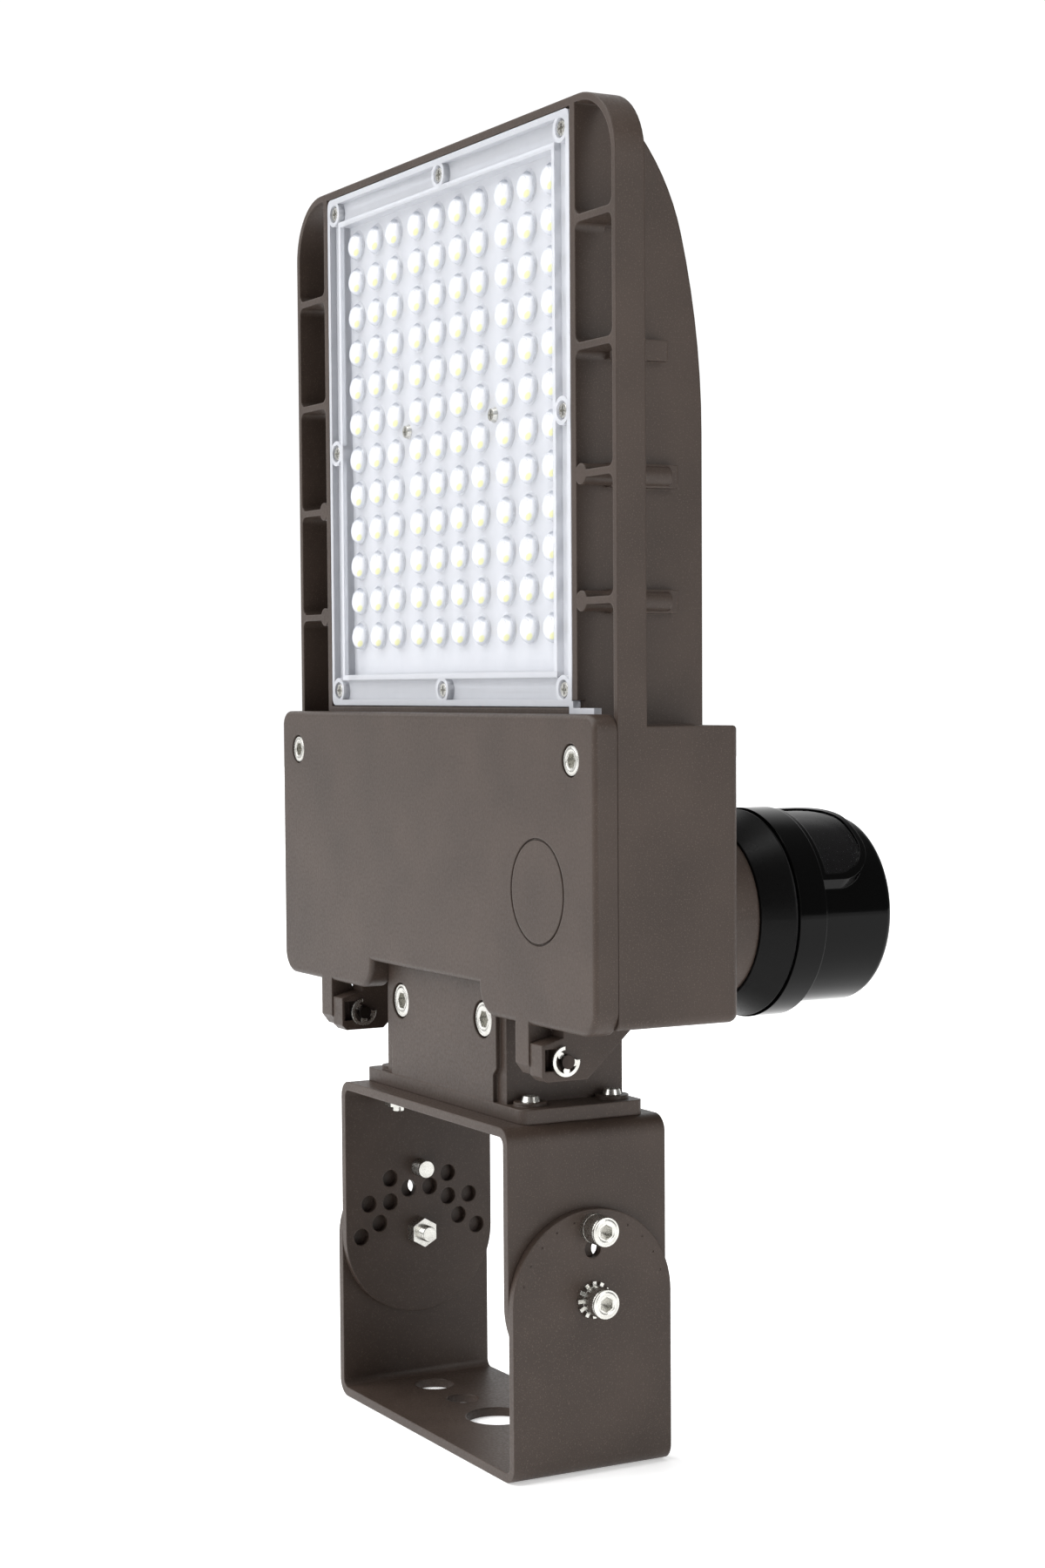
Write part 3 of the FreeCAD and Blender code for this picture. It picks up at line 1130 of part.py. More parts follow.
def make_photocell():
    """Twist-lock socket on the housing boss, its gasket, and the photocell."""
    eye = ("eye_x", "eye_z")
    flare = cone("Y", eye, ("eye_boss_end", "socket_end"), "socket_throat_r", "socket_mouth_r")
    plug = rod("Y", eye, ("eye_boss_end - 12", "eye_boss_end + 1"), "eye_boss_r - eye_boss_wall - slip_gap")
    slot_span = ("socket_end - blade_long - 2", "socket_end + 1")
    slots = cut(rod("Y", eye, slot_span, "blade_ring_r + blade_thick / 2 + 0.5"),
                rod("Y", eye, slot_span, "blade_ring_r - blade_thick / 2 - 0.5"))
    relief = rod("Y", eye, ("eye_boss_end - 13", "socket_end - blade_long - 5"), "blade_ring_r + 6")
    screw_places = [(f"eye_x + {side}21", "eye_z") for side in ("-", "")]
    screw_drills = [rod("Y", place, ("eye_boss_end - 13", "socket_end + 1"), "lens_screw_r + 0.1")
                    for place in screw_places]
    screw_seats = [rod("Y", place, ("socket_end - 2.6", "socket_end + 1"), "lens_head_r + 0.3")
                   for place in screw_places]
    node("photocell_socket", cut(join(flare, plug), slots, relief, *screw_drills, *screw_seats))
    screws = [cross_screw("Y", "+", place, "socket_end - 2.6", "lens_head_r", "lens_head_high - 0.3",
                          "lens_screw_r", "socket_end - eye_boss_end + 4") for place in screw_places]
    node("socket_screws", group(*screws))
    gasket_span = ("socket_end", "socket_end + eye_gasket")
    gasket_hole = rod("Y", eye, ("socket_end - 1", "socket_end + eye_gasket + 1"), "blade_ring_r + 14")
    node("photocell_gasket", cut(rod("Y", eye, gasket_span, "socket_mouth_r - 1"), gasket_hole))
    base_y = "socket_end + eye_gasket"
    base_back = f"{base_y} + eye_base_thick"
    node("photocell_base", rod("Y", eye, (base_y, base_back), "eye_ring_r - eye_wall - slip_gap"))
    ring = rod("Y", eye, (base_y, f"{base_y} + eye_ring_long"), "eye_ring_r")
    cap = rod("Y", eye, (f"{base_y} + eye_ring_long - 1", "eye_cap_end"), "eye_cap_r")
    cap = rounded(cap, 3.0, lambda middle, direction: near(middle.y, VALUE["eye_cap_end"]))
    start_y = f"{base_y} + eye_ring_long"
    rise = ("eye_cap_r - 16", "eye_ring_r + 2")
    bump_span = (f"{start_y} - 1", f"{start_y} + window_long + window_rim")
    shell = rod("Y", eye, bump_span, "eye_ring_r - 0.4")
    bump_block = window_block("window_wide / 2 + window_rim", bump_span, rise, VALUE["window_wide"] * 0.38)
    bump = common(shell, bump_block)
    hollow = rod("Y", eye, (f"{base_y} - 1", f"{base_back} + 0.3"), "eye_ring_r - eye_wall")
    room = rod("Y", eye, (base_back, "eye_cap_end - eye_wall"), "eye_cap_r - eye_wall")
    opening = window_block("window_wide / 2", (f"{start_y} + window_rim", f"{start_y} + window_long"),
                           rise, VALUE["window_wide"] * 0.36)
    node("photocell_cap", cut(join(ring, cap, bump), hollow, room, opening))
    outside = rod("Y", eye, (start_y, f"{start_y} + window_long"), "eye_ring_r - 0.9")
    inside = rod("Y", eye, (f"{start_y} - 1", f"{start_y} + window_long + 1"), "eye_ring_r - 2.7")
    pane_span = (f"{start_y} + window_rim + 0.05", f"{start_y} + window_long - 0.05")
    pane = window_block("window_wide / 2 - 0.05", pane_span, rise, VALUE["window_wide"] * 0.36)
    node("photocell_window", common(cut(outside, inside), pane))
    board_y = (f"{base_y} + 16", f"{base_y} + 17.6")
    board = box(("eye_x - 14", "eye_x + 24"), board_y, ("eye_z - 18", "eye_z + 20"))
    posts = [rod("Y", (f"eye_x + {x}", "eye_z - 12"), (base_back, board_y[0]), "2.2") for x in (-10, 18)]
    node("photocell_board", join(board, *posts))
    sensor_x, sensor_y = "eye_x + 17", f"{base_y} + 20.6"
    neck = rod("Z", (sensor_x, sensor_y), ("eye_z + 14", "eye_z + 18"), "2.2")
    bulb = rod("Z", (sensor_x, sensor_y), ("eye_z + 18", "eye_z + 23"), "2.0")
    legs = box((f"{sensor_x} - 0.6", f"{sensor_x} + 0.6"), (board_y[1], sensor_y),
               ("eye_z + 15", "eye_z + 16.2"))
    node("light_sensor", join(neck, bulb, legs))
    blades = []
    for angle in (90, 210, 330):
        blade = box(("-blade_wide / 2", "blade_wide / 2"), (0, "blade_long"),
                    ("-blade_thick / 2", "blade_thick / 2"))
        turn = FreeCAD.Rotation(V(0, 1, 0), 90 - angle)
        blade.Placement = FreeCAD.Placement(V(), turn)
        tip_x = f"blade_ring_r * cos({angle}) - blade_wide / 2 * sin({angle}) - blade_thick / 2 * cos({angle})"
        tip_z = f"blade_ring_r * sin({angle}) + blade_wide / 2 * cos({angle}) - blade_thick / 2 * sin({angle})"
        bind(blade, Base_x=f"eye_x + {tip_x}", Base_y=f"{base_y} - blade_long", Base_z=f"eye_z + {tip_z}")
        blades.append(blade)
    return blades


def make_blades(blades):
    """The three contact blades, which pass through the photocell's base."""
    node("photocell_blades", group(*blades))


# ---------------------------------------------------------------- driver box contents
def lead(points, bend):
    """A round lead through points, its corners turned on arcs."""
    edges = []
    start = points[0]
    for before, corner, after in zip(points, points[1:], points[2:]):
        back = (before - corner).normalize()
        ahead = (after - corner).normalize()
        half = back.getAngle(ahead) / 2
        reach = bend / math.tan(half)
        enter = corner + back * reach
        leave = corner + ahead * reach
        middle = (back + ahead).normalize()
        centre = corner + middle * (bend / math.sin(half))
        edges.append(Part.LineSegment(start, enter).toShape())
        edges.append(Part.Arc(enter, centre - middle * bend, leave).toShape())
        start = leave
    edges.append(Part.LineSegment(start, points[-1]).toShape())
    path = Part.Wire(edges)
    ring = Part.Wire(Part.makeCircle(VALUE["wire_r"], points[0], points[1] - points[0]))
    tube = path.makePipeShell([ring], True, False)
    ideal = math.pi * VALUE["wire_r"] ** 2 * path.Length
    if abs(tube.Volume / ideal - 1) > 0.01:
        raise RuntimeError("a lead came out wrong")
    return tube


def make_gear():
    """Driver, surge protector, terminal block, ground screw, grommet and leads."""
    back = "box_back - box_wall"
    case = box(("driver_low", "driver_high"), (f"{back} - driver_deep", back),
               ("driver_bottom", DRIVER_TOP))
    tab_spans = (("driver_low - driver_tab", "driver_low + 1"), ("driver_high - 1", "driver_high + driver_tab"))
    tabs = [box(span, (f"{back} - 2", back), ("driver_bottom + 8", f"{DRIVER_TOP} - 8")) for span in tab_spans]
    middle = f"(driver_bottom + {DRIVER_TOP}) / 2"
    places = [(x, middle) for x in ("driver_low - driver_tab / 2", "driver_high + driver_tab / 2")]
    holes = [rod("Y", place, (f"{back} - 3", f"{back} + 1"), "lens_screw_r + 0.1") for place in places]
    node("led_driver", cut(join(case, *tabs), *holes))
    node("driver_screws", group(*[
        cross_screw("Y", "-", place, f"{back} - 2", "lens_head_r", "lens_head_high", "lens_screw_r", "1.9")
        for place in places]))
    node("surge_protector", box(("surge_low", "surge_high"), (f"{back} - surge_deep", back),
                                ("surge_bottom", "surge_top")))
    floor = "box_bottom + box_wall"
    block_top = f"{floor} + block_high_z"
    block = box(("block_low", "block_high"), ("block_front", "block_back"), (floor, block_top))
    pockets = []
    for k in range(3):
        x = f"block_low + (block_high - block_low) * {(k + 0.5) / 3:.4f}"
        well = (x, "(block_front + block_back) / 2")
        pockets.append(rod("Z", well, (f"{block_top} - 4", f"{block_top} + 1"), "2.6"))
        pockets.append(rod("Y", (x, f"{floor} + 6"), ("block_front - 1", "block_front + 6"), "wire_r + 0.3"))
    node("terminal_block", cut(block, *pockets))
    node("ground_screw", cross_screw("Z", "+", GROUND_SCREW, floor, "4.0", "2.4", "2.0", "2.6"))
    place = ("lamp_lead_x", "lamp_lead_y")
    ring = rod("Z", place, ("box_top - box_wall - 1.6", "box_top - box_wall"), "grommet_r + 1.4")
    sleeve = rod("Z", place, ("box_top - box_wall - 1", "lens_low - lens_gap"), "grommet_r - 1")
    bore = rod("Z", place, ("box_top - box_wall - 2", "lens_low + 1"), "wire_r + 0.02")
    node("lamp_lead_grommet", cut(join(ring, sleeve), bore))
    doc.recompute()
    size = VALUE
    face = size["box_back"] - size["box_wall"] - size["driver_deep"]
    wall = size["box_back"] - size["box_wall"]
    floor_z = size["box_bottom"] + size["box_wall"]
    right = size["driver_high"]
    driver_top = size["box_top"] - size["driver_drop"]
    routes = {
        "lamp_lead": [
            V(size["lamp_lead_x"], face + 8, driver_top),
            V(size["lamp_lead_x"], face + 8, driver_top + 5),
            V(size["lamp_lead_x"], size["lamp_lead_y"], driver_top + 9),
            V(size["lamp_lead_x"], size["lamp_lead_y"], size["lens_low"] + size["board_edge"] + 5),
        ],
        "line_lead": [
            V(right, face + 9, size["driver_bottom"] + 10),
            V(right + 18, face + 9, size["driver_bottom"] + 10),
            V(right + 18, face - 3.5, size["driver_bottom"] - 2),
            V(size["block_low"] + 6.3, face - 14, floor_z + 6),
            V(size["block_low"] + 6.3, size["block_front"] + 5, floor_z + 6),
        ],
        "surge_lead": [
            V(size["surge_low"] + 20, wall - 10, size["surge_bottom"]),
            V(size["surge_low"] + 20, wall - 10, size["surge_bottom"] - 16),
            V(size["surge_low"] + 24, size["block_front"] - 9, size["surge_bottom"] - 34),
            V(size["surge_low"] + 29, size["block_front"] - 9, floor_z + 6),
            V(size["surge_low"] + 29, size["block_front"] + 5, floor_z + 6),
        ],
    }
    for name, points in routes.items():
        shortest = min((b - a).Length for a, b in zip(points, points[1:]))
        node(name, shaped(lead(points, min(size["wire_bend"], 0.4 * shortest)), "Lead"))


# ---------------------------------------------------------------- build, check, export
make_lower_yoke()
make_upper_yoke()
make_yoke_fasteners()
make_adapter()
make_adapter_fasteners()
make_housing()
make_lens()
make_lamps()
make_door()
make_door_fittings()
make_blades(make_photocell())
make_gear()
doc.recompute()

for item in doc.Objects:
    if "Invalid" in item.State or "Error" in item.State:
        raise RuntimeError(f"{item.Label} ({item.TypeId}) failed: {item.State}")

os.makedirs("parts", exist_ok=True)
for item in NODES:
    shape = item.Shape
    if shape.isNull() or not shape.isValid() or not shape.Solids:
        raise RuntimeError(f"{item.Label} has no valid solid")
    if len(shape.Solids) > 1 and item.TypeId not in ("Part::Compound", "Part::Feature"):
        raise RuntimeError(f"{item.Label} fell into {len(shape.Solids)} solids")
    shape.exportStep(f"parts/{item.Label}.step")
    limits = shape.BoundBox
    print(f"{item.Label}: {len(shape.Solids)} solids, {shape.Volume / 1000:.2f} cm3, "
          f"x {limits.XMin:.1f}..{limits.XMax:.1f} y {limits.YMin:.1f}..{limits.YMax:.1f} "
          f"z {limits.ZMin:.1f}..{limits.ZMax:.1f}")
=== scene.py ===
"""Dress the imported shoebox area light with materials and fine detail, light it and aim the camera.

Everything is in metres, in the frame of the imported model: +Z up, the lens faces -Y, and the
origin is in the middle of the underside of the lower yoke.
"""

import json
import logging
import math
from dataclasses import dataclass
from enum import Enum
from typing import Any, Callable, Iterable, Iterator, Sequence

import bmesh
import bpy
from mathutils import Matrix, Vector


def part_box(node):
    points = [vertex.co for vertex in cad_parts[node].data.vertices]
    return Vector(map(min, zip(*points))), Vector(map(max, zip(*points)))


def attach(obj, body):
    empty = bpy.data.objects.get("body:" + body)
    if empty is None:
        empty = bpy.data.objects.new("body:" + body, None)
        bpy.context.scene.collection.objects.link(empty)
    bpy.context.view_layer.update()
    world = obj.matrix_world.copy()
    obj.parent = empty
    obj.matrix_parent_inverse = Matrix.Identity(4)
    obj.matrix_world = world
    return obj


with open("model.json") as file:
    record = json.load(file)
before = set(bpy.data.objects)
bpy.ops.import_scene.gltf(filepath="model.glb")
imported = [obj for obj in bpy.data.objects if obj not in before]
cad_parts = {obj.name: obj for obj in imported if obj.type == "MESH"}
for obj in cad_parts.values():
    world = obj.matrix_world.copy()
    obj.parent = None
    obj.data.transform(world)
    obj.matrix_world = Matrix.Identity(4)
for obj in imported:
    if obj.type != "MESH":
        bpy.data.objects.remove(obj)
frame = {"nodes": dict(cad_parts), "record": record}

LOG = logging.getLogger("area_light")
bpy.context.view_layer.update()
MM = 0.001
HAIR = 0.02 * MM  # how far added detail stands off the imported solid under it

NodeTree = bpy.types.NodeTree
Node = bpy.types.Node
Socket = bpy.types.NodeSocket
Material = bpy.types.Material
Object = bpy.types.Object
BMesh = bmesh.types.BMesh
Builder = Callable[[BMesh], None]
Radius = float | Callable[[float], float]

AMOUNT, FIRST, SECOND = 0, 6, 7  # a colour Mix node's inputs
MIXED = 2  # its colour output
NOISE = (0.3, 0.7)  # most of a noise pattern's values lie between these
BEVEL_SAMPLES = 4


class Axis(Enum):
    """Direction of a turned piece: the rotation that brings +Z onto it."""

    PLUS_X = Matrix.Rotation(math.pi / 2, 4, "Y")
    MINUS_X = Matrix.Rotation(-math.pi / 2, 4, "Y")
    MINUS_Y = Matrix.Rotation(math.pi / 2, 4, "X")


# ------------------------------------------------------------------ colour and shader helpers
def linear(hex_colour: str) -> tuple[float, float, float, float]:
    """Turn an sRGB hex colour into linear RGBA.

    Args:
        hex_colour: six hex digits after a hash sign.
    Returns:
        Red, green, blue and alpha as linear floats.
    """
    parts = [int(hex_colour[i:i + 2], 16) / 255 for i in (1, 3, 5)]
    red, green, blue = (c / 12.92 if c <= 0.04045 else ((c + 0.055) / 1.055) ** 2.4 for c in parts)
    return (red, green, blue, 1.0)


def add_node(tree: NodeTree, kind: str, inputs: dict | None = None, **settings: Any) -> Node:
    """Add one shader node, with its settings and links.

    Args:
        tree: the node tree that receives the node.
        kind: the node's type name after ShaderNode, such as Bump.
        inputs: socket name or index to a value, a hex colour, an output socket to link, or a node
            whose first output is linked.
        settings: attributes of the node itself.
    Returns:
        The new node.
    """
    node = tree.nodes.new("ShaderNode" + kind)
    for name, value in settings.items():
        setattr(node, name, value)
    for key, value in (inputs or {}).items():
        source = value.outputs[0] if isinstance(value, Node) else value
        if isinstance(source, Socket):
            tree.links.new(source, node.inputs[key])
        else:
            node.inputs[key].default_value = linear(source) if isinstance(source, str) else source
    return node


@dataclass(frozen=True)
class Span:
    """A range of a pattern's values, from low to high, that is spread from start to end."""

    low: float
    high: float
    start: float
    end: float

    def of(self, value: Socket | Node) -> dict[str, Any]:
        """The inputs of a Map Range node that spreads a value."""
        return {"Value": value, "From Min": self.low, "From Max": self.high,
                "To Min": self.start, "To Max": self.end}


class Shader:
    """One material under construction."""

    def __init__(self, name: str) -> None:
        """Start an empty material.

        Args:
            name: the material's name.
        """
        self.material = bpy.data.materials.new(name)
        self.material.use_nodes = True
        self.material.node_tree.nodes.clear()
        self.place = self.add("TexCoord").outputs["Object"]

    def add(self, kind: str, inputs: dict | None = None, **settings: Any) -> Node:
        """Add a node to this material; see add_node."""
        return add_node(self.material.node_tree, kind, inputs, **settings)

    def sized(self, size: float, detail: float = 2.0) -> dict[str, Any]:
        """Work out a pattern's inputs from a real size.

        Args:
            size: width of one feature, in metres.
            detail: number of finer octaves.
        Returns:
            The pattern node's inputs.
        """
        return {"Vector": self.place, "Scale": 1.0 / size, "Detail": detail}

    def finish(self, **inputs: Any) -> Material:
        """Close the material with a Principled shader.

        Args:
            inputs: the shader's inputs, with an underscore for each space in a name.
        Returns:
            The material.
        """
        named = {name.replace("_", " "): value for name, value in inputs.items()}
        self.add("OutputMaterial", {"Surface": self.add("BsdfPrincipled", named)})
        return self.material


# ------------------------------------------------------------------ finishes
@dataclass(frozen=True)
class CoatFinish:
    """Fine-textured polyester powder coat, baked on die-cast and bent metal.

    Its grains give a dull, finely dotted face. The rounds of the edges are a little paler: a thinner film
    there, and a painted highlight. The grains are drawn a little coarse, so that they show in the render.
    """

    name: str
    colour: str
    edge_colour: str
    speck_colour: str
    roughness: float = 0.44
    gloss_swing: float = 0.08
    shine: float = 0.30
    grain: float = 0.55 * MM
    cloud: float = 35 * MM
    relief: float = 0.10 * MM
    relief_strength: float = 0.35
    edge_radius: float = 0.9 * MM
    cloud_span: Span = Span(*NOISE, 0.0, 0.25)
    speck_span: Span = Span(0.60, 0.70, 0.0, 0.55)
    # where the bevel turns the normal: a painted highlight on the rounds of the edges
    edge_highlight_span: Span = Span(0.985, 0.8, 0.0, 0.45)

    def build(self) -> Material:
        """Build the coat: orange-peel relief, pale mineral specks and a painted highlight on rounded edges.

        Returns:
            The material.
        """
        shader = Shader(self.name)
        soft = shader.add("Bevel", {"Radius": self.edge_radius}, samples=BEVEL_SAMPLES)
        flat = shader.add("NewGeometry").outputs["True Normal"]
        turn = shader.add("VectorMath", {0: soft, 1: flat}, operation="DOT_PRODUCT").outputs["Value"]
        clouds = shader.add("TexNoise", shader.sized(self.cloud))
        specks = shader.add("TexNoise", shader.sized(self.grain, 1.0))
        # The clouds and specks are the coat's own tone; the last layer is a painted highlight on the rounds of
        # the edges.
        layers = ((self.cloud_span.of(clouds), self.edge_colour),
                  (self.speck_span.of(specks), self.speck_colour),
                  (self.edge_highlight_span.of(turn), self.edge_colour))
        colour: str | Socket = self.colour
        for spread, tint in layers:
            mask = shader.add("MapRange", spread)
            mixed = shader.add("Mix", {AMOUNT: mask, FIRST: colour, SECOND: tint}, data_type="RGBA")
            colour = mixed.outputs[MIXED]
        gloss = Span(*NOISE, self.roughness - self.gloss_swing, self.roughness + self.gloss_swing)
        rough = shader.add("MapRange", gloss.of(shader.add("TexNoise", shader.sized(self.grain * 2))))
        peel = shader.add("TexNoise", shader.sized(self.grain, 3.0))
        normal = shader.add("Bump", {"Height": peel, "Distance": self.relief,
                                     "Strength": self.relief_strength, "Normal": soft})
        return shader.finish(Base_Color=colour, Roughness=rough, Normal=normal, Specular_IOR_Level=self.shine)


@dataclass(frozen=True)
class MetalFinish:
    """Bare or plated metal, drawn or turned: fine marks break up its gloss, and patches are darker."""

    name: str
    colour: str
    dark_colour: str
    roughness: float
    smoother: float = 0.06
    rougher: float = 0.08
    mark: float = 0.5 * MM
    stretch: tuple[float, float, float] = (1.0, 3.0, 1.0)
    patch: float = 4 * MM
    relief: float = 0.02 * MM
    relief_strength: float = 0.25
    edge_radius: float = 0.25 * MM
    patch_span: Span = Span(0.35, 0.75, 0.0, 0.5)

    def build(self) -> Material:
        """Build the metal: drawn marks in gloss and relief, darker colour in patches.

        Returns:
            The material.
        """
        shader = Shader(self.name)
        soft = shader.add("Bevel", {"Radius": self.edge_radius}, samples=BEVEL_SAMPLES)
        drawn = shader.add("Mapping", {"Vector": shader.place, "Scale": self.stretch})
        marks = shader.add("TexNoise", shader.sized(self.mark, 3.0) | {"Vector": drawn})
        patches = shader.add("TexNoise", shader.sized(self.patch))
        mask = shader.add("MapRange", self.patch_span.of(patches))
        colour = shader.add("Mix", {AMOUNT: mask, FIRST: self.colour, SECOND: self.dark_colour},
                            data_type="RGBA").outputs[MIXED]
        gloss = Span(*NOISE, self.roughness - self.smoother, self.roughness + self.rougher)
        rough = shader.add("MapRange", gloss.of(marks))
        normal = shader.add("Bump", {"Height": marks, "Distance": self.relief,
                                     "Strength": self.relief_strength, "Normal": soft})
        return shader.finish(Base_Color=colour, Roughness=rough, Metallic=1.0, Normal=normal)


@dataclass(frozen=True)
class PlasticFinish:
    """Opaque moulded plastic or rubber, solder mask or phosphor: even colour that drifts slightly."""

    name: str
    colour: str
    second_colour: str
    roughness: float
    grain: float = 1.5 * MM
    relief: float = 0.015 * MM
    relief_strength: float = 0.3
    shine: float = 0.5
    gloss_share: float = 0.2
    drift: float = 18 * MM
    edge_radius: float = 0.5 * MM
    drift_span: Span = Span(*NOISE, 0.0, 0.6)

    def build(self) -> Material:
        """Build the plastic: slight colour drift, uneven gloss and a faint moulded texture.

        Returns:
            The material.
        """
        shader = Shader(self.name)
        soft = shader.add("Bevel", {"Radius": self.edge_radius}, samples=BEVEL_SAMPLES)
        drift = shader.add("TexNoise", shader.sized(self.drift))
        mask = shader.add("MapRange", self.drift_span.of(drift))
        colour = shader.add("Mix", {AMOUNT: mask, FIRST: self.colour, SECOND: self.second_colour},
                            data_type="RGBA").outputs[MIXED]
        texture = shader.add("TexNoise", shader.sized(self.grain))
        least, most = self.roughness * (1 - self.gloss_share), self.roughness * (1 + self.gloss_share)
        rough = shader.add("MapRange", Span(*NOISE, least, most).of(texture))
        normal = shader.add("Bump", {"Height": texture, "Distance": self.relief,
                                     "Strength": self.relief_strength, "Normal": soft})
        return shader.finish(Base_Color=colour, Roughness=rough, Normal=normal, Specular_IOR_Level=self.shine)


@dataclass(frozen=True)
class HazyFinish:
    """Clear injection-moulded polycarbonate in thin walls: hazy, and denser where it turns away."""

    name: str
    face_colour: str
    edge_colour: str
    face_haze: float
    edge_haze: float
    roughness: float = 0.12
    gloss_share: float = 0.3
    shine: float = 0.6
    flow: float = 6 * MM
    ripple: float = 0.02 * MM
    ripple_strength: float = 0.2
    edge_radius: float = 0.5 * MM
    facing_blend: float = 0.5
    facing_start: float = 0.15
    facing_end: float = 0.85
    flow_span: Span = Span(0.35, 0.75, 0.0, 0.15)

    def build(self) -> Material:
        """Build the plastic: faint flow marks in colour, gloss and relief, and haze by its slant.

        Returns:
            The material.
        """
        shader = Shader(self.name)
        soft = shader.add("Bevel", {"Radius": self.edge_radius}, samples=BEVEL_SAMPLES)
        flow = shader.add("TexNoise", shader.sized(self.flow))
        normal = shader.add("Bump", {"Height": flow, "Distance": self.ripple,
                                     "Strength": self.ripple_strength, "Normal": soft})
        slant = shader.add("LayerWeight", {"Blend": self.facing_blend, "Normal": normal}).outputs["Facing"]
        haze = Span(self.facing_start, self.facing_end, self.face_haze, self.edge_haze)
        density = shader.add("MapRange", haze.of(slant))
        mask = shader.add("MapRange", self.flow_span.of(flow))
        colour = shader.add("Mix", {AMOUNT: mask, FIRST: self.face_colour, SECOND: self.edge_colour},
                            data_type="RGBA").outputs[MIXED]
        least, most = self.roughness * (1 - self.gloss_share), self.roughness * (1 + self.gloss_share)
        rough = shader.add("MapRange", Span(*NOISE, least, most).of(flow))
        return shader.finish(Base_Color=colour, Roughness=rough, Alpha=density, Normal=normal,
                             Specular_IOR_Level=self.shine)


@dataclass(frozen=True)
class PaintedPatch:
    """A painted tint, of light, shade or refraction, on the side of a dome whose own normal turns towards a
    fixed way.
    """

    colour: str
    way: tuple[float, float, float]
    start: float
    full: float


@dataclass(frozen=True)
class OpticFinish:
    """Clear moulded polycarbonate dome over a lamp.

    The real dome shows the board and the lamp by refraction. Here their colours are painted on the
    dome by its own normal, which gives much the same patches without refraction: painted light of the
    lit board as a white heart, painted shade on the grey crown and the phosphor's yellow, painted low down.
    """

    name: str
    clear_colour: str
    patches: tuple[PaintedPatch, ...]
    density: float = 0.93
    ripple: float = 2.5 * MM
    relief: float = 0.02 * MM
    relief_strength: float = 0.2
    gloss_span: Span = Span(*NOISE, 0.05, 0.12)

    def build(self) -> Material:
        """Build the dome: a glossy, faintly rippled skin with its painted patches of light, shade and
        refraction.

        Returns:
            The material.
        """
        shader = Shader(self.name)
        own_normal = shader.add("TexCoord").outputs["Normal"]
        colour: str | Socket = self.clear_colour
        for patch in self.patches:
            way = tuple(Vector(patch.way).normalized())
            turn = shader.add("VectorMath", {0: own_normal, 1: way}, operation="DOT_PRODUCT")
            mask = shader.add("MapRange", Span(patch.start, patch.full, 0.0, 1.0).of(turn.outputs["Value"]))
            mixed = shader.add("Mix", {AMOUNT: mask, FIRST: colour, SECOND: patch.colour}, data_type="RGBA")
            colour = mixed.outputs[MIXED]
        ripple = shader.add("TexNoise", shader.sized(self.ripple))
        normal = shader.add("Bump", {"Height": ripple, "Distance": self.relief,
                                     "Strength": self.relief_strength})
        rough = shader.add("MapRange", self.gloss_span.of(ripple))
        return shader.finish(Base_Color=colour, Roughness=rough, Alpha=self.density, Normal=normal)


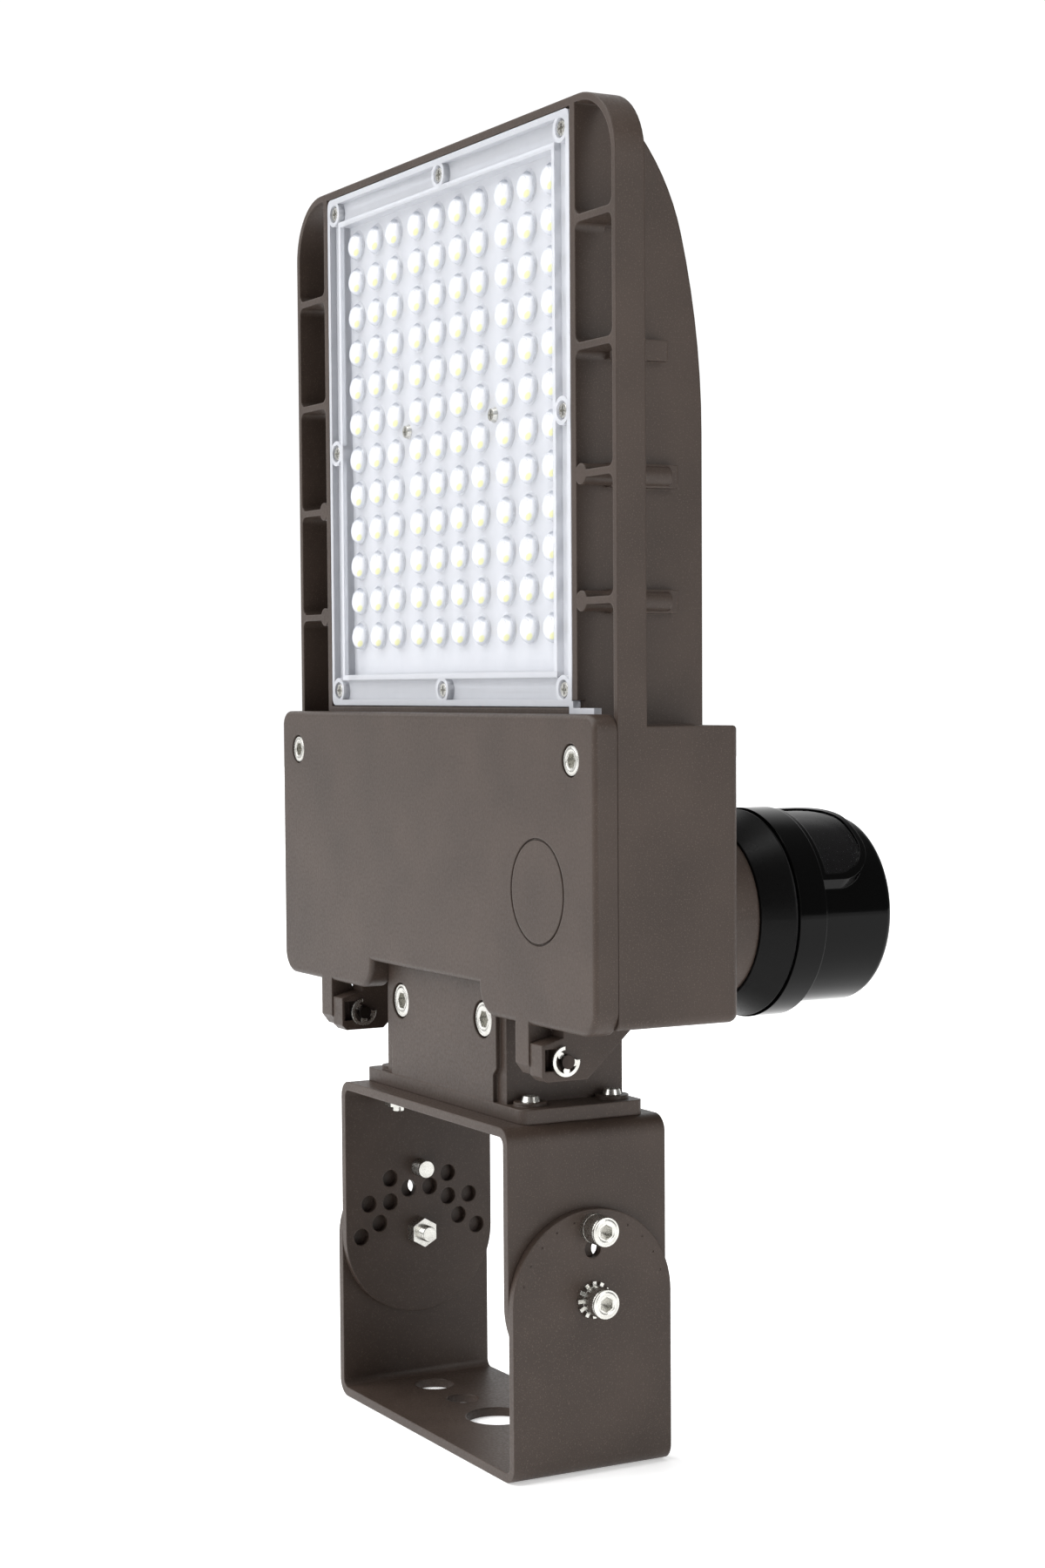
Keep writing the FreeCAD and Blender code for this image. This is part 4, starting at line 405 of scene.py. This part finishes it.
FINISHES: dict[str, CoatFinish | MetalFinish | PlasticFinish | HazyFinish] = {
    # Bronze powder coat on castings and bent steel: brown-black, dull, with paler grains and a painted
    # highlight on its rounded edges.
    "bronze_coat": CoatFinish("powder_coat_bronze", "#352b25", "#54473f", "#554942"),
    # Plated steel screws, nuts and washers: bright and cool, slightly soft in its reflections.
    "stainless": MetalFinish("plated_steel", "#d4d3ce", "#a3a19a", 0.26),
    # Drawn spring steel: greyer and a little duller than the plated screws.
    "spring_steel": MetalFinish("spring_steel", "#b9b8b4", "#85837e", 0.30),
    # Moulded clear polycarbonate: a pale haze over the white board behind it.
    "clear_plastic": HazyFinish("clear_polycarbonate", "#d9dbe1", "#bfc4cc", 0.42, 0.80),
    # Moulded smoked polycarbonate: nearly black, with a sharp gloss.
    "smoked_plastic": HazyFinish("smoked_polycarbonate", "#050506", "#050506", 0.45, 0.85, roughness=0.05),
    # Moulded silicone: milky and soft.
    "clear_rubber": PlasticFinish("translucent_silicone", "#d9dce2", "#cfd3da", 0.45,
                                  grain=0.8 * MM, relief=0.02 * MM),
    # Steel blackened in a bath: dark, with a metal's broad sheen.
    "black_oxide": MetalFinish("black_oxide_steel", "#3a3431", "#231f1d", 0.38),
    # Moulded silicone: flat black.
    "black_rubber": PlasticFinish("black_silicone", "#19191a", "#232323", 0.62,
                                  grain=0.6 * MM, relief=0.03 * MM),
    # Foamed silicone sponge: matt mid grey with an open skin.
    "grey_rubber": PlasticFinish("grey_silicone_sponge", "#6f7173", "#7f8183", 0.75,
                                 grain=0.8 * MM, relief=0.06 * MM),
    # Screen-printed white solder mask: nearly white and even.
    "white_board": PlasticFinish("white_solder_mask", "#f3f4f6", "#eceef2", 0.42,
                                 grain=3 * MM, relief=0.01 * MM),
    # Screen-printed green solder mask: dark green with a satin gloss.
    "green_board": PlasticFinish("green_solder_mask", "#2c6b3d", "#245a33", 0.35,
                                 grain=2 * MM, relief=0.02 * MM),
    # Phosphor cast in silicone: warm yellow.
    "phosphor": PlasticFinish("led_phosphor", "#f6e38c", "#f1d765", 0.30, grain=1 * MM, relief=0.01 * MM),
    # Moulded polycarbonate with a spark-eroded skin: satin black.
    "black_plastic": PlasticFinish("satin_black_plastic", "#060606", "#080808", 0.34,
                                   grain=0.5 * MM, relief=0.02 * MM, shine=0.12),
    # Moulded polycarbonate from a polished mould: deep black, with clear reflections.
    "gloss_black": PlasticFinish("gloss_black_polycarbonate", "#020202", "#030303", 0.07,
                                 grain=9 * MM, relief=0.02 * MM, shine=0.12),
    # Stamped brass: warm yellow metal.
    "brass": MetalFinish("stamped_brass", "#c9a45a", "#a5843f", 0.30),
    # Pressed bare aluminium: pale, soft grey metal.
    "driver_case": MetalFinish("driver_case_aluminium", "#c9cbcc", "#b2b4b6", 0.38),
    # Moulded nylon: warm white and satin.
    "white_plastic": PlasticFinish("white_nylon", "#e8e7e1", "#dedcd4", 0.45),
    # Dyed zinc plating: clear green.
    "green_screw": PlasticFinish("green_dyed_zinc", "#2e7d46", "#256b3a", 0.32),
    # Extruded PVC sleeves: even colour and a soft gloss.
    "red_lead": PlasticFinish("red_pvc_sleeve", "#a8231d", "#961d18", 0.42),
    "black_lead": PlasticFinish("black_pvc_sleeve", "#1a1a1a", "#222222", 0.42),
    "white_lead": PlasticFinish("white_pvc_sleeve", "#e6e4de", "#dad8d0", 0.42),
}
# Painted light, shade and refraction on the domes: a white heart for the lit board seen through, painted shade
# on the grey crown, and the yellow phosphor painted low down.
OPTIC_FINISH = OpticFinish("optic_polycarbonate", "#d0d3da", patches=(
    PaintedPatch("#e9eaee", (0.48, -0.86, -0.10), 0.76, 0.92),  # white heart, the board through the dome
    PaintedPatch("#989ca5", (0.25, -0.40, 0.88), 0.80, 0.92),  # grey crown in its own shade
    PaintedPatch("#e6e6b4", (0.50, -0.72, -0.48), 0.945, 0.975),  # pale yellow phosphor, low down
))
MATERIALS: dict[str, Material] = {}


def paint_frame() -> None:
    """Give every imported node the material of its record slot."""
    for slot_name, finish in FINISHES.items():
        MATERIALS[slot_name] = finish.build()
    for subpart in frame["record"]["subparts"]:
        node = frame["nodes"][subpart["node"]]
        node.data.materials.clear()
        node.data.materials.append(MATERIALS[subpart["material_slot"]])


# ------------------------------------------------------------------ mesh helpers
def make_piece(name: str, body: str, slot_name: str, build: Builder, smooth_angle: float) -> Object:
    """Make one mesh piece that rides on a body and takes a record slot's finish.

    Args:
        name: the piece's name.
        body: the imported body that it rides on.
        slot_name: the material slot.
        build: fills an empty bmesh with the shape, in the row frame.
        smooth_angle: edges flatter than this many degrees are shaded smooth.
    Returns:
        The new object.
    """
    mesh = bpy.data.meshes.new(name)
    shape = bmesh.new()
    build(shape)
    bmesh.ops.recalc_face_normals(shape, faces=shape.faces)
    limit = math.radians(smooth_angle)
    for face in shape.faces:
        face.smooth = True
    for edge in shape.edges:
        edge.smooth = len(edge.link_faces) == 2 and edge.calc_face_angle(0.0) < limit
    shape.to_mesh(mesh)
    shape.free()
    piece = bpy.data.objects.new(name, mesh)
    bpy.context.scene.collection.objects.link(piece)
    mesh.materials.append(MATERIALS[slot_name])
    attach(piece, body)
    return piece


def ring_of(shape: BMesh, seat: Matrix, radius: Radius, height: float, count: int) -> list[bmesh.types.BMVert]:
    """Add one closed ring of vertices round a seat's Z axis.

    Args:
        shape: the bmesh that receives the vertices.
        seat: from the ring's own frame to the row frame.
        radius: the ring's radius, or a function of the angle that gives it.
        height: the ring's height over the seat.
        count: number of vertices.
    Returns:
        The vertices in order.
    """
    ring = []
    for k in range(count):
        angle = 2 * math.pi * k / count
        reach = radius(angle) if callable(radius) else radius
        point = Vector((reach * math.cos(angle), reach * math.sin(angle), height))
        ring.append(shape.verts.new(seat @ point))
    return ring


def bridge(shape: BMesh, first: Sequence, second: Sequence) -> None:
    """Join two rings of equal length with quads."""
    count = len(first)
    for k in range(count):
        after = (k + 1) % count
        shape.faces.new((first[k], first[after], second[after], second[k]))


def turn_round(shape: BMesh, seat: Matrix, profile: Iterable[tuple[Radius, float]], count: int,
               capped: bool) -> None:
    """Turn a profile round a seat's Z axis.

    Args:
        shape: the bmesh that receives the surface.
        seat: from the profile's own frame to the row frame.
        profile: (radius, height) points.
        count: segments round.
        capped: True closes both ends with a flat face.
    """
    rings = [ring_of(shape, seat, radius, height, count) for radius, height in profile]
    for first, second in zip(rings, rings[1:]):
        bridge(shape, first, second)
    if capped:
        shape.faces.new(list(reversed(rings[0])))
        shape.faces.new(rings[-1])


def seat_at(axis: Axis, place: Vector) -> Matrix:
    """The transform of a turned piece that starts at place and points along axis."""
    return Matrix.Translation(place) @ axis.value


def seat_pair(x: float, z: float, outward: bool) -> list[Matrix]:
    """Seat a pair of turned pieces on both sides of the middle.

    Args:
        x: distance of each from the middle.
        z: height of both.
        outward: True points them away from the middle, False towards it.
    Returns:
        The seats at x and at -x.
    """
    first, second = (Axis.PLUS_X, Axis.MINUS_X) if outward else (Axis.MINUS_X, Axis.PLUS_X)
    return [seat_at(first, Vector((x, 0, z))), seat_at(second, Vector((-x, 0, z)))]


def mid_z(node: str) -> float:
    """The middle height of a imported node's box."""
    low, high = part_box(node)
    return (low.z + high.z) / 2


# ------------------------------------------------------------------ screws
@dataclass(frozen=True)
class CapHead:
    """The knurled rim and chamfered crown of a socket head screw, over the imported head."""

    radius: float
    height: float
    socket: float
    teeth: int = 36
    segments_per_tooth: int = 4
    tooth: float = 0.16 * MM
    proud: float = 0.22 * MM
    plain_share: float = 0.4  # of proud, where the rim has no teeth
    grip_start: float = 0.08  # shares of the height
    grip_end: float = 0.86
    grip_runout: float = 0.03
    crown_share: float = 0.86  # of the radius
    crown_lift: float = 0.12 * MM
    mouth_chamfer: float = 0.55 * MM
    mouth_gap: float = 0.15 * MM
    mouth_depth: float = 0.25 * MM

    def add(self, shape: BMesh, seat: Matrix) -> None:
        """Add one knurled rim with its crown.

        Args:
            shape: the bmesh that receives it.
            seat: transform whose +Z runs from the head's seat to its crown.
        """
        grip = self.radius + self.proud
        plain = self.radius + self.proud * self.plain_share
        low, high = self.grip_start * self.height, self.grip_end * self.height
        crown = self.height + self.crown_lift

        def knurl(angle: float) -> float:
            """The toothed rim's radius at an angle."""
            return grip - self.tooth * (0.5 + 0.5 * math.cos(self.teeth * angle))

        profile = [
            (plain, 0.0),
            (plain, low / 2),
            (knurl, low),
            (knurl, high),
            (plain, high + self.grip_runout * self.height),
            (self.radius * self.crown_share, crown),
            (self.socket + self.mouth_chamfer, crown),
            (self.socket + self.mouth_gap, self.height - self.mouth_depth),
        ]
        turn_round(shape, seat, profile, self.teeth * self.segments_per_tooth, capped=False)


@dataclass
class Fasteners:
    """Knurled rims on the socket heads, and thread ridges on four free ends."""

    yoke_head: CapHead = CapHead(5.45 * MM, 7.4 * MM, 2.9 * MM)
    neck_head: CapHead = CapHead(6.5 * MM, 6.6 * MM, 3.5 * MM, teeth=42)
    door_head: CapHead = CapHead(5.3 * MM, 5.0 * MM, 2.9 * MM, teeth=32)
    pivot_thread: float = 3.0 * MM
    pivot_nut: float = 5.0 * MM
    pivot_end: float = 4.4 * MM
    lock_thread: float = 3.3 * MM
    lock_inset: float = 3.5 * MM
    lock_end: float = 6.7 * MM
    pitch: float = 1.0 * MM
    thread_depth: float = 0.28 * MM
    tip_share: float = 0.72
    tip_long: float = 0.25 * MM
    thread_segments: int = 28
    head_smooth: float = 50.0
    thread_smooth: float = 20.0

    def heads(self, name: str, body: str, head: CapHead, seats: Sequence[Matrix]) -> Object:
        """Add knurled rims over packed heads of one kind.

        Args:
            name: the piece's name.
            body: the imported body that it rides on.
            head: the kind of head.
            seats: one transform for each head.
        Returns:
            The piece.
        """
        def build(shape: BMesh) -> None:
            """Add a rim at each seat."""
            for seat in seats:
                head.add(shape, seat)
        return make_piece(name, body, "stainless", build, self.head_smooth)

    def threads(self, name: str, body: str, radius: float, length: float, seats: Sequence[Matrix]) -> Object:
        """Add thread ridges to the free ends of screws.

        Args:
            name: the piece's name.
            body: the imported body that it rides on.
            radius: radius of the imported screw.
            length: length of the ridged end.
            seats: one transform for each end, where its thread starts.
        Returns:
            The piece.
        """
        root = radius + HAIR
        turns = int(length / self.pitch)
        profile = []
        for k in range(turns):
            base = k * self.pitch
            profile.append((root, base))
            profile.append((radius + self.thread_depth, base + self.pitch * 0.5))
        profile.append((root, turns * self.pitch))
        profile.append((radius * self.tip_share, turns * self.pitch + self.tip_long))

        def build(shape: BMesh) -> None:
            """Add a thread at each seat."""
            for seat in seats:
                turn_round(shape, seat, profile, self.thread_segments, capped=True)
        return make_piece(name, body, "stainless", build, self.thread_smooth)

    def build(self) -> list[Object]:
        """Build every screw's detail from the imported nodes' places.

        Returns:
            The pieces.
        """
        pivot_z, lock_z = mid_z("pivot_screws"), mid_z("tilt_lock_screws")
        head_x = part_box("pivot_screws")[1].x - self.yoke_head.height
        nut_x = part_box("pivot_nuts")[1].x - self.pivot_nut
        stud_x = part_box("tilt_lock_studs")[1].x - self.lock_inset
        low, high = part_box("neck_screws")
        neck_x, neck_y = high.x - self.neck_head.radius, low.y + self.neck_head.height
        neck_places = [Vector((x, neck_y, mid_z("neck_screws"))) for x in (-neck_x, neck_x)]
        neck_seats = [seat_at(Axis.MINUS_Y, place) for place in neck_places]
        pieces = [
            self.heads("pivot_head_knurls", "base", self.yoke_head, seat_pair(head_x, pivot_z, outward=True)),
            self.heads("lock_head_knurls", "base", self.yoke_head, seat_pair(head_x, lock_z, outward=True)),
            self.threads("pivot_end_threads", "base", self.pivot_thread, self.pivot_end,
                         seat_pair(nut_x, pivot_z, outward=False)),
            self.threads("lock_end_threads", "head", self.lock_thread, self.lock_end,
                         seat_pair(stud_x, lock_z, outward=False)),
            self.heads("neck_head_knurls", "head", self.neck_head, neck_seats),
        ]
        for side in ("left", "right"):
            low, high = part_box(f"door_screw_{side}")
            centre = (low + high) / 2
            place = Vector((centre.x, low.y + self.door_head.height, centre.z))
            seats = [seat_at(Axis.MINUS_Y, place)]
            pieces.append(self.heads(f"door_head_knurl_{side}", "door", self.door_head, seats))
        return pieces


# ------------------------------------------------------------------ lens
@dataclass
class Optics:
    """The 120 moulded optics in front of the lamps, in three groups of columns."""

    columns: Sequence[float] = (-4.5, -3.5, -2.5, -1.5, -0.5, 0.5, 1.5, 2.5, 3.5, 4.5)
    rows: int = 12
    across: float = 17.4 * MM
    up: float = 14.6 * MM
    middle_group: float = 2.0  # columns nearer the middle than this stand in the middle group
    group_gap: float = 2.3 * MM
    lamp_half: float = 1.7 * MM
    field_depth: float = 4.6 * MM
    dome_wide: float = 5.6 * MM
    dome_tall: float = 5.7 * MM
    dome_high: float = 3.9 * MM
    lift: float = 0.9 * MM
    segments: int = 28
    steps: int = 7
    smooth: float = 60.0

    def places(self) -> Iterator[tuple[float, float]]:
        """Work out every lamp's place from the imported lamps' box.

        Returns:
            The lamps' X and Z.
        """
        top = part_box("lamps")[1].z - self.lamp_half
        for row in range(self.rows):
            for rank in self.columns:
                extra = 0.0 if abs(rank) < self.middle_group else math.copysign(self.group_gap, rank)
                yield rank * self.across + extra, top - row * self.up

    def dome(self, shape: BMesh, x: float, y: float, z: float) -> None:
        """Add one oval dome that bulges towards -Y, with its tip a little low.

        Args:
            shape: the bmesh that receives it.
            x: the dome's middle, across.
            y: the plane that it stands on.
            z: the dome's middle, upward.
        """
        rings = []
        for step in range(self.steps):
            tilt = step / self.steps * math.pi / 2
            wide, high = math.cos(tilt), math.sin(tilt)
            ring = []
            for k in range(self.segments):
                angle = 2 * math.pi * k / self.segments
                sideways = self.dome_wide * wide * math.cos(angle)
                upward = self.dome_tall * wide * math.sin(angle) - self.lift * high
                ring.append(shape.verts.new((x + sideways, y - self.dome_high * high, z + upward)))
            rings.append(ring)
        for first, second in zip(rings, rings[1:]):
            bridge(shape, first, second)
        tip = shape.verts.new((x, y - self.dome_high, z - self.lift))
        last = rings[-1]
        for k in range(self.segments):
            shape.faces.new((last[k], last[(k + 1) % self.segments], tip))
        shape.faces.new(list(reversed(rings[0])))

    def build(self) -> list[Object]:
        """Build the domes on the lens's field.

        Returns:
            The pieces.
        """
        field_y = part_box("lens")[0].y + self.field_depth

        def build(shape: BMesh) -> None:
            """Add a dome over each lamp."""
            for x, z in self.places():
                self.dome(shape, x, field_y - HAIR, z)
        domes = make_piece("optic_domes", "head", "clear_plastic", build, self.smooth)
        domes.data.materials[0] = OPTIC_FINISH.build()
        return [domes]


# ------------------------------------------------------------------ yoke dimples
@dataclass
class Dimples:
    """Punched index dimples round the tops of the lower yoke's legs, each a low lip round a cup."""

    reach: float = 30.5 * MM
    radius: float = 0.45 * MM
    lip_share: float = 0.7
    lip_high: float = 0.06 * MM
    cup_share: float = 0.3
    cup_high: float = 0.01 * MM
    step: float = 15.0
    count: int = 11
    segments: int = 14
    smooth: float = 60.0

    def build(self) -> list[Object]:
        """Build the dimples on the outer faces of both legs.

        Returns:
            The pieces.
        """
        low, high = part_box("lower_yoke")
        pivot_z = mid_z("pivot_screws")
        profile = [(self.radius, 0.0), (self.radius * self.lip_share, self.lip_high),
                   (self.radius * self.cup_share, self.cup_high)]

        def build(shape: BMesh) -> None:
            """Add the dimples of each leg on an arc round its pivot."""
            for side, axis in ((high.x, Axis.PLUS_X), (low.x, Axis.MINUS_X)):
                for k in range(self.count):
                    angle = math.radians((k - (self.count - 1) / 2) * self.step)
                    place = Vector((side, self.reach * math.sin(angle), pivot_z + self.reach * math.cos(angle)))
                    turn_round(shape, seat_at(axis, place), profile, self.segments, capped=True)
        return [make_piece("index_dimples", "base", "bronze_coat", build, self.smooth)]


# ------------------------------------------------------------------ studio
@dataclass(frozen=True)
class SoftBox:
    """A rectangular soft light."""

    name: str
    place: Vector
    size: tuple[float, float]
    power: float

    def hang(self, target: Vector) -> None:
        """Hang the light so that it points at a target."""
        data = bpy.data.lights.new(self.name, "AREA")
        data.shape = "RECTANGLE"
        data.size, data.size_y = self.size
        data.energy = self.power
        lamp = bpy.data.objects.new(self.name, data)
        lamp.location = self.place
        lamp.rotation_mode = "QUATERNION"
        lamp.rotation_quaternion = (target - self.place).to_track_quat("-Z", "Y")
        bpy.context.scene.collection.objects.link(lamp)


@dataclass
class Studio:
    """Pale lit table, soft lights and the photograph's camera."""

    eye: Vector = Vector((0.911119, -0.493496, 0.294907))
    forward: Vector = Vector((-0.8838, 0.4643, -0.0575))
    upward: Vector = Vector((-0.0472, 0.0339, 0.9983))
    lens: float = 60.44
    sensor: float = 36.0
    shift: tuple[float, float] = (0.0396, 0.0337)
    clip: tuple[float, float] = (0.01, 50.0)
    middle: Vector = Vector((0, 0, 0.25))
    floor_size: float = 8.0
    floor_drop: float = 0.3 * MM
    floor_colour: str = "#fafafa"
    floor_grain_colour: str = "#f0f0f0"
    floor_grain: float = 2.0 * MM
    floor_span: Span = Span(*NOISE, 0.0, 0.3)
    floor_roughness: float = 0.9
    floor_glow: float = 0.40
    white: str = "#ffffff"
    sky_span: Span = Span(0.35, 0.85, 0.24, 1.05)
    key_power: float = 3.6
    key_spread: float = 70.0
    key_way: Vector = Vector((0.30, 0.72, -0.75))
    boxes: tuple[SoftBox, ...] = (
        SoftBox("side", Vector((1.9, 0.5, 0.9)), (0.5, 1.6), 13.0),
        SoftBox("top", Vector((0.3, -0.1, 1.9)), (1.2, 0.5), 9.0),
    )

    def camera(self) -> None:
        """Aim a camera from the photograph's viewpoint."""
        back = -self.forward.normalized()
        right = self.upward.cross(back).normalized()
        up = back.cross(right)
        data = bpy.data.cameras.new("camera")
        data.lens = self.lens
        data.sensor_width = self.sensor
        data.shift_x, data.shift_y = self.shift
        data.clip_start, data.clip_end = self.clip
        camera = bpy.data.objects.new("camera", data)
        camera.matrix_world = Matrix.Translation(self.eye) @ Matrix((right, up, back)).transposed().to_4x4()
        bpy.context.scene.collection.objects.link(camera)
        bpy.context.scene.camera = camera

    def floor(self) -> None:
        """Lay a wide pale floor under the yoke: white acrylic with a little light of its own."""
        mesh = bpy.data.meshes.new("floor")
        shape = bmesh.new()
        bmesh.ops.create_grid(shape, x_segments=1, y_segments=1, size=self.floor_size)
        shape.to_mesh(mesh)
        shape.free()
        floor = bpy.data.objects.new("floor", mesh)
        floor.location.z = -self.floor_drop
        bpy.context.scene.collection.objects.link(floor)
        shader = Shader("pale_floor")
        grain = shader.add("TexNoise", shader.sized(self.floor_grain))
        mask = shader.add("MapRange", self.floor_span.of(grain))
        colours = {AMOUNT: mask, FIRST: self.floor_colour, SECOND: self.floor_grain_colour}
        mesh.materials.append(shader.finish(
            Base_Color=shader.add("Mix", colours, data_type="RGBA").outputs[MIXED],
            Roughness=self.floor_roughness, Emission_Color=self.white, Emission_Strength=self.floor_glow))

    def world(self) -> None:
        """Surround the scene with a soft sky: white where the photograph looks, dim round the rest."""
        world = bpy.data.worlds.new("studio")
        world.use_nodes = True
        tree = world.node_tree
        tree.nodes.clear()
        place = add_node(tree, "TexCoord").outputs["Generated"]
        ahead = tuple(self.forward.normalized())
        side = add_node(tree, "VectorMath", {0: place, 1: ahead}, operation="DOT_PRODUCT").outputs["Value"]
        glow = add_node(tree, "MapRange", self.sky_span.of(side), interpolation_type="SMOOTHSTEP")
        sky = add_node(tree, "Background", {"Color": self.white, "Strength": glow})
        add_node(tree, "OutputWorld", {"Surface": sky})
        bpy.context.scene.world = world

    def sun(self) -> None:
        """Add the broad key light: high, in front of the lens and to its left."""
        data = bpy.data.lights.new("key", "SUN")
        data.energy = self.key_power
        data.angle = math.radians(self.key_spread)
        lamp = bpy.data.objects.new("key", data)
        lamp.rotation_mode = "QUATERNION"
        lamp.rotation_quaternion = self.key_way.to_track_quat("-Z", "Y")
        bpy.context.scene.collection.objects.link(lamp)

    def build(self) -> None:
        """Set up the whole studio."""
        self.camera()
        self.floor()
        self.world()
        self.sun()
        for box in self.boxes:
            box.hang(self.middle)
        view = bpy.context.scene.view_settings
        view.view_transform = "Standard"


def main() -> None:
    """Build the sub-assemblies in order, report each piece, then light the scene."""
    logging.basicConfig(level=logging.INFO)
    paint_frame()
    for assembly in (Fasteners(), Optics(), Dimples()):
        for piece in assembly.build():
            LOG.info("%s: %d faces", piece.name, len(piece.data.polygons))
    Studio().build()


if __name__ == "__main__":
    main()
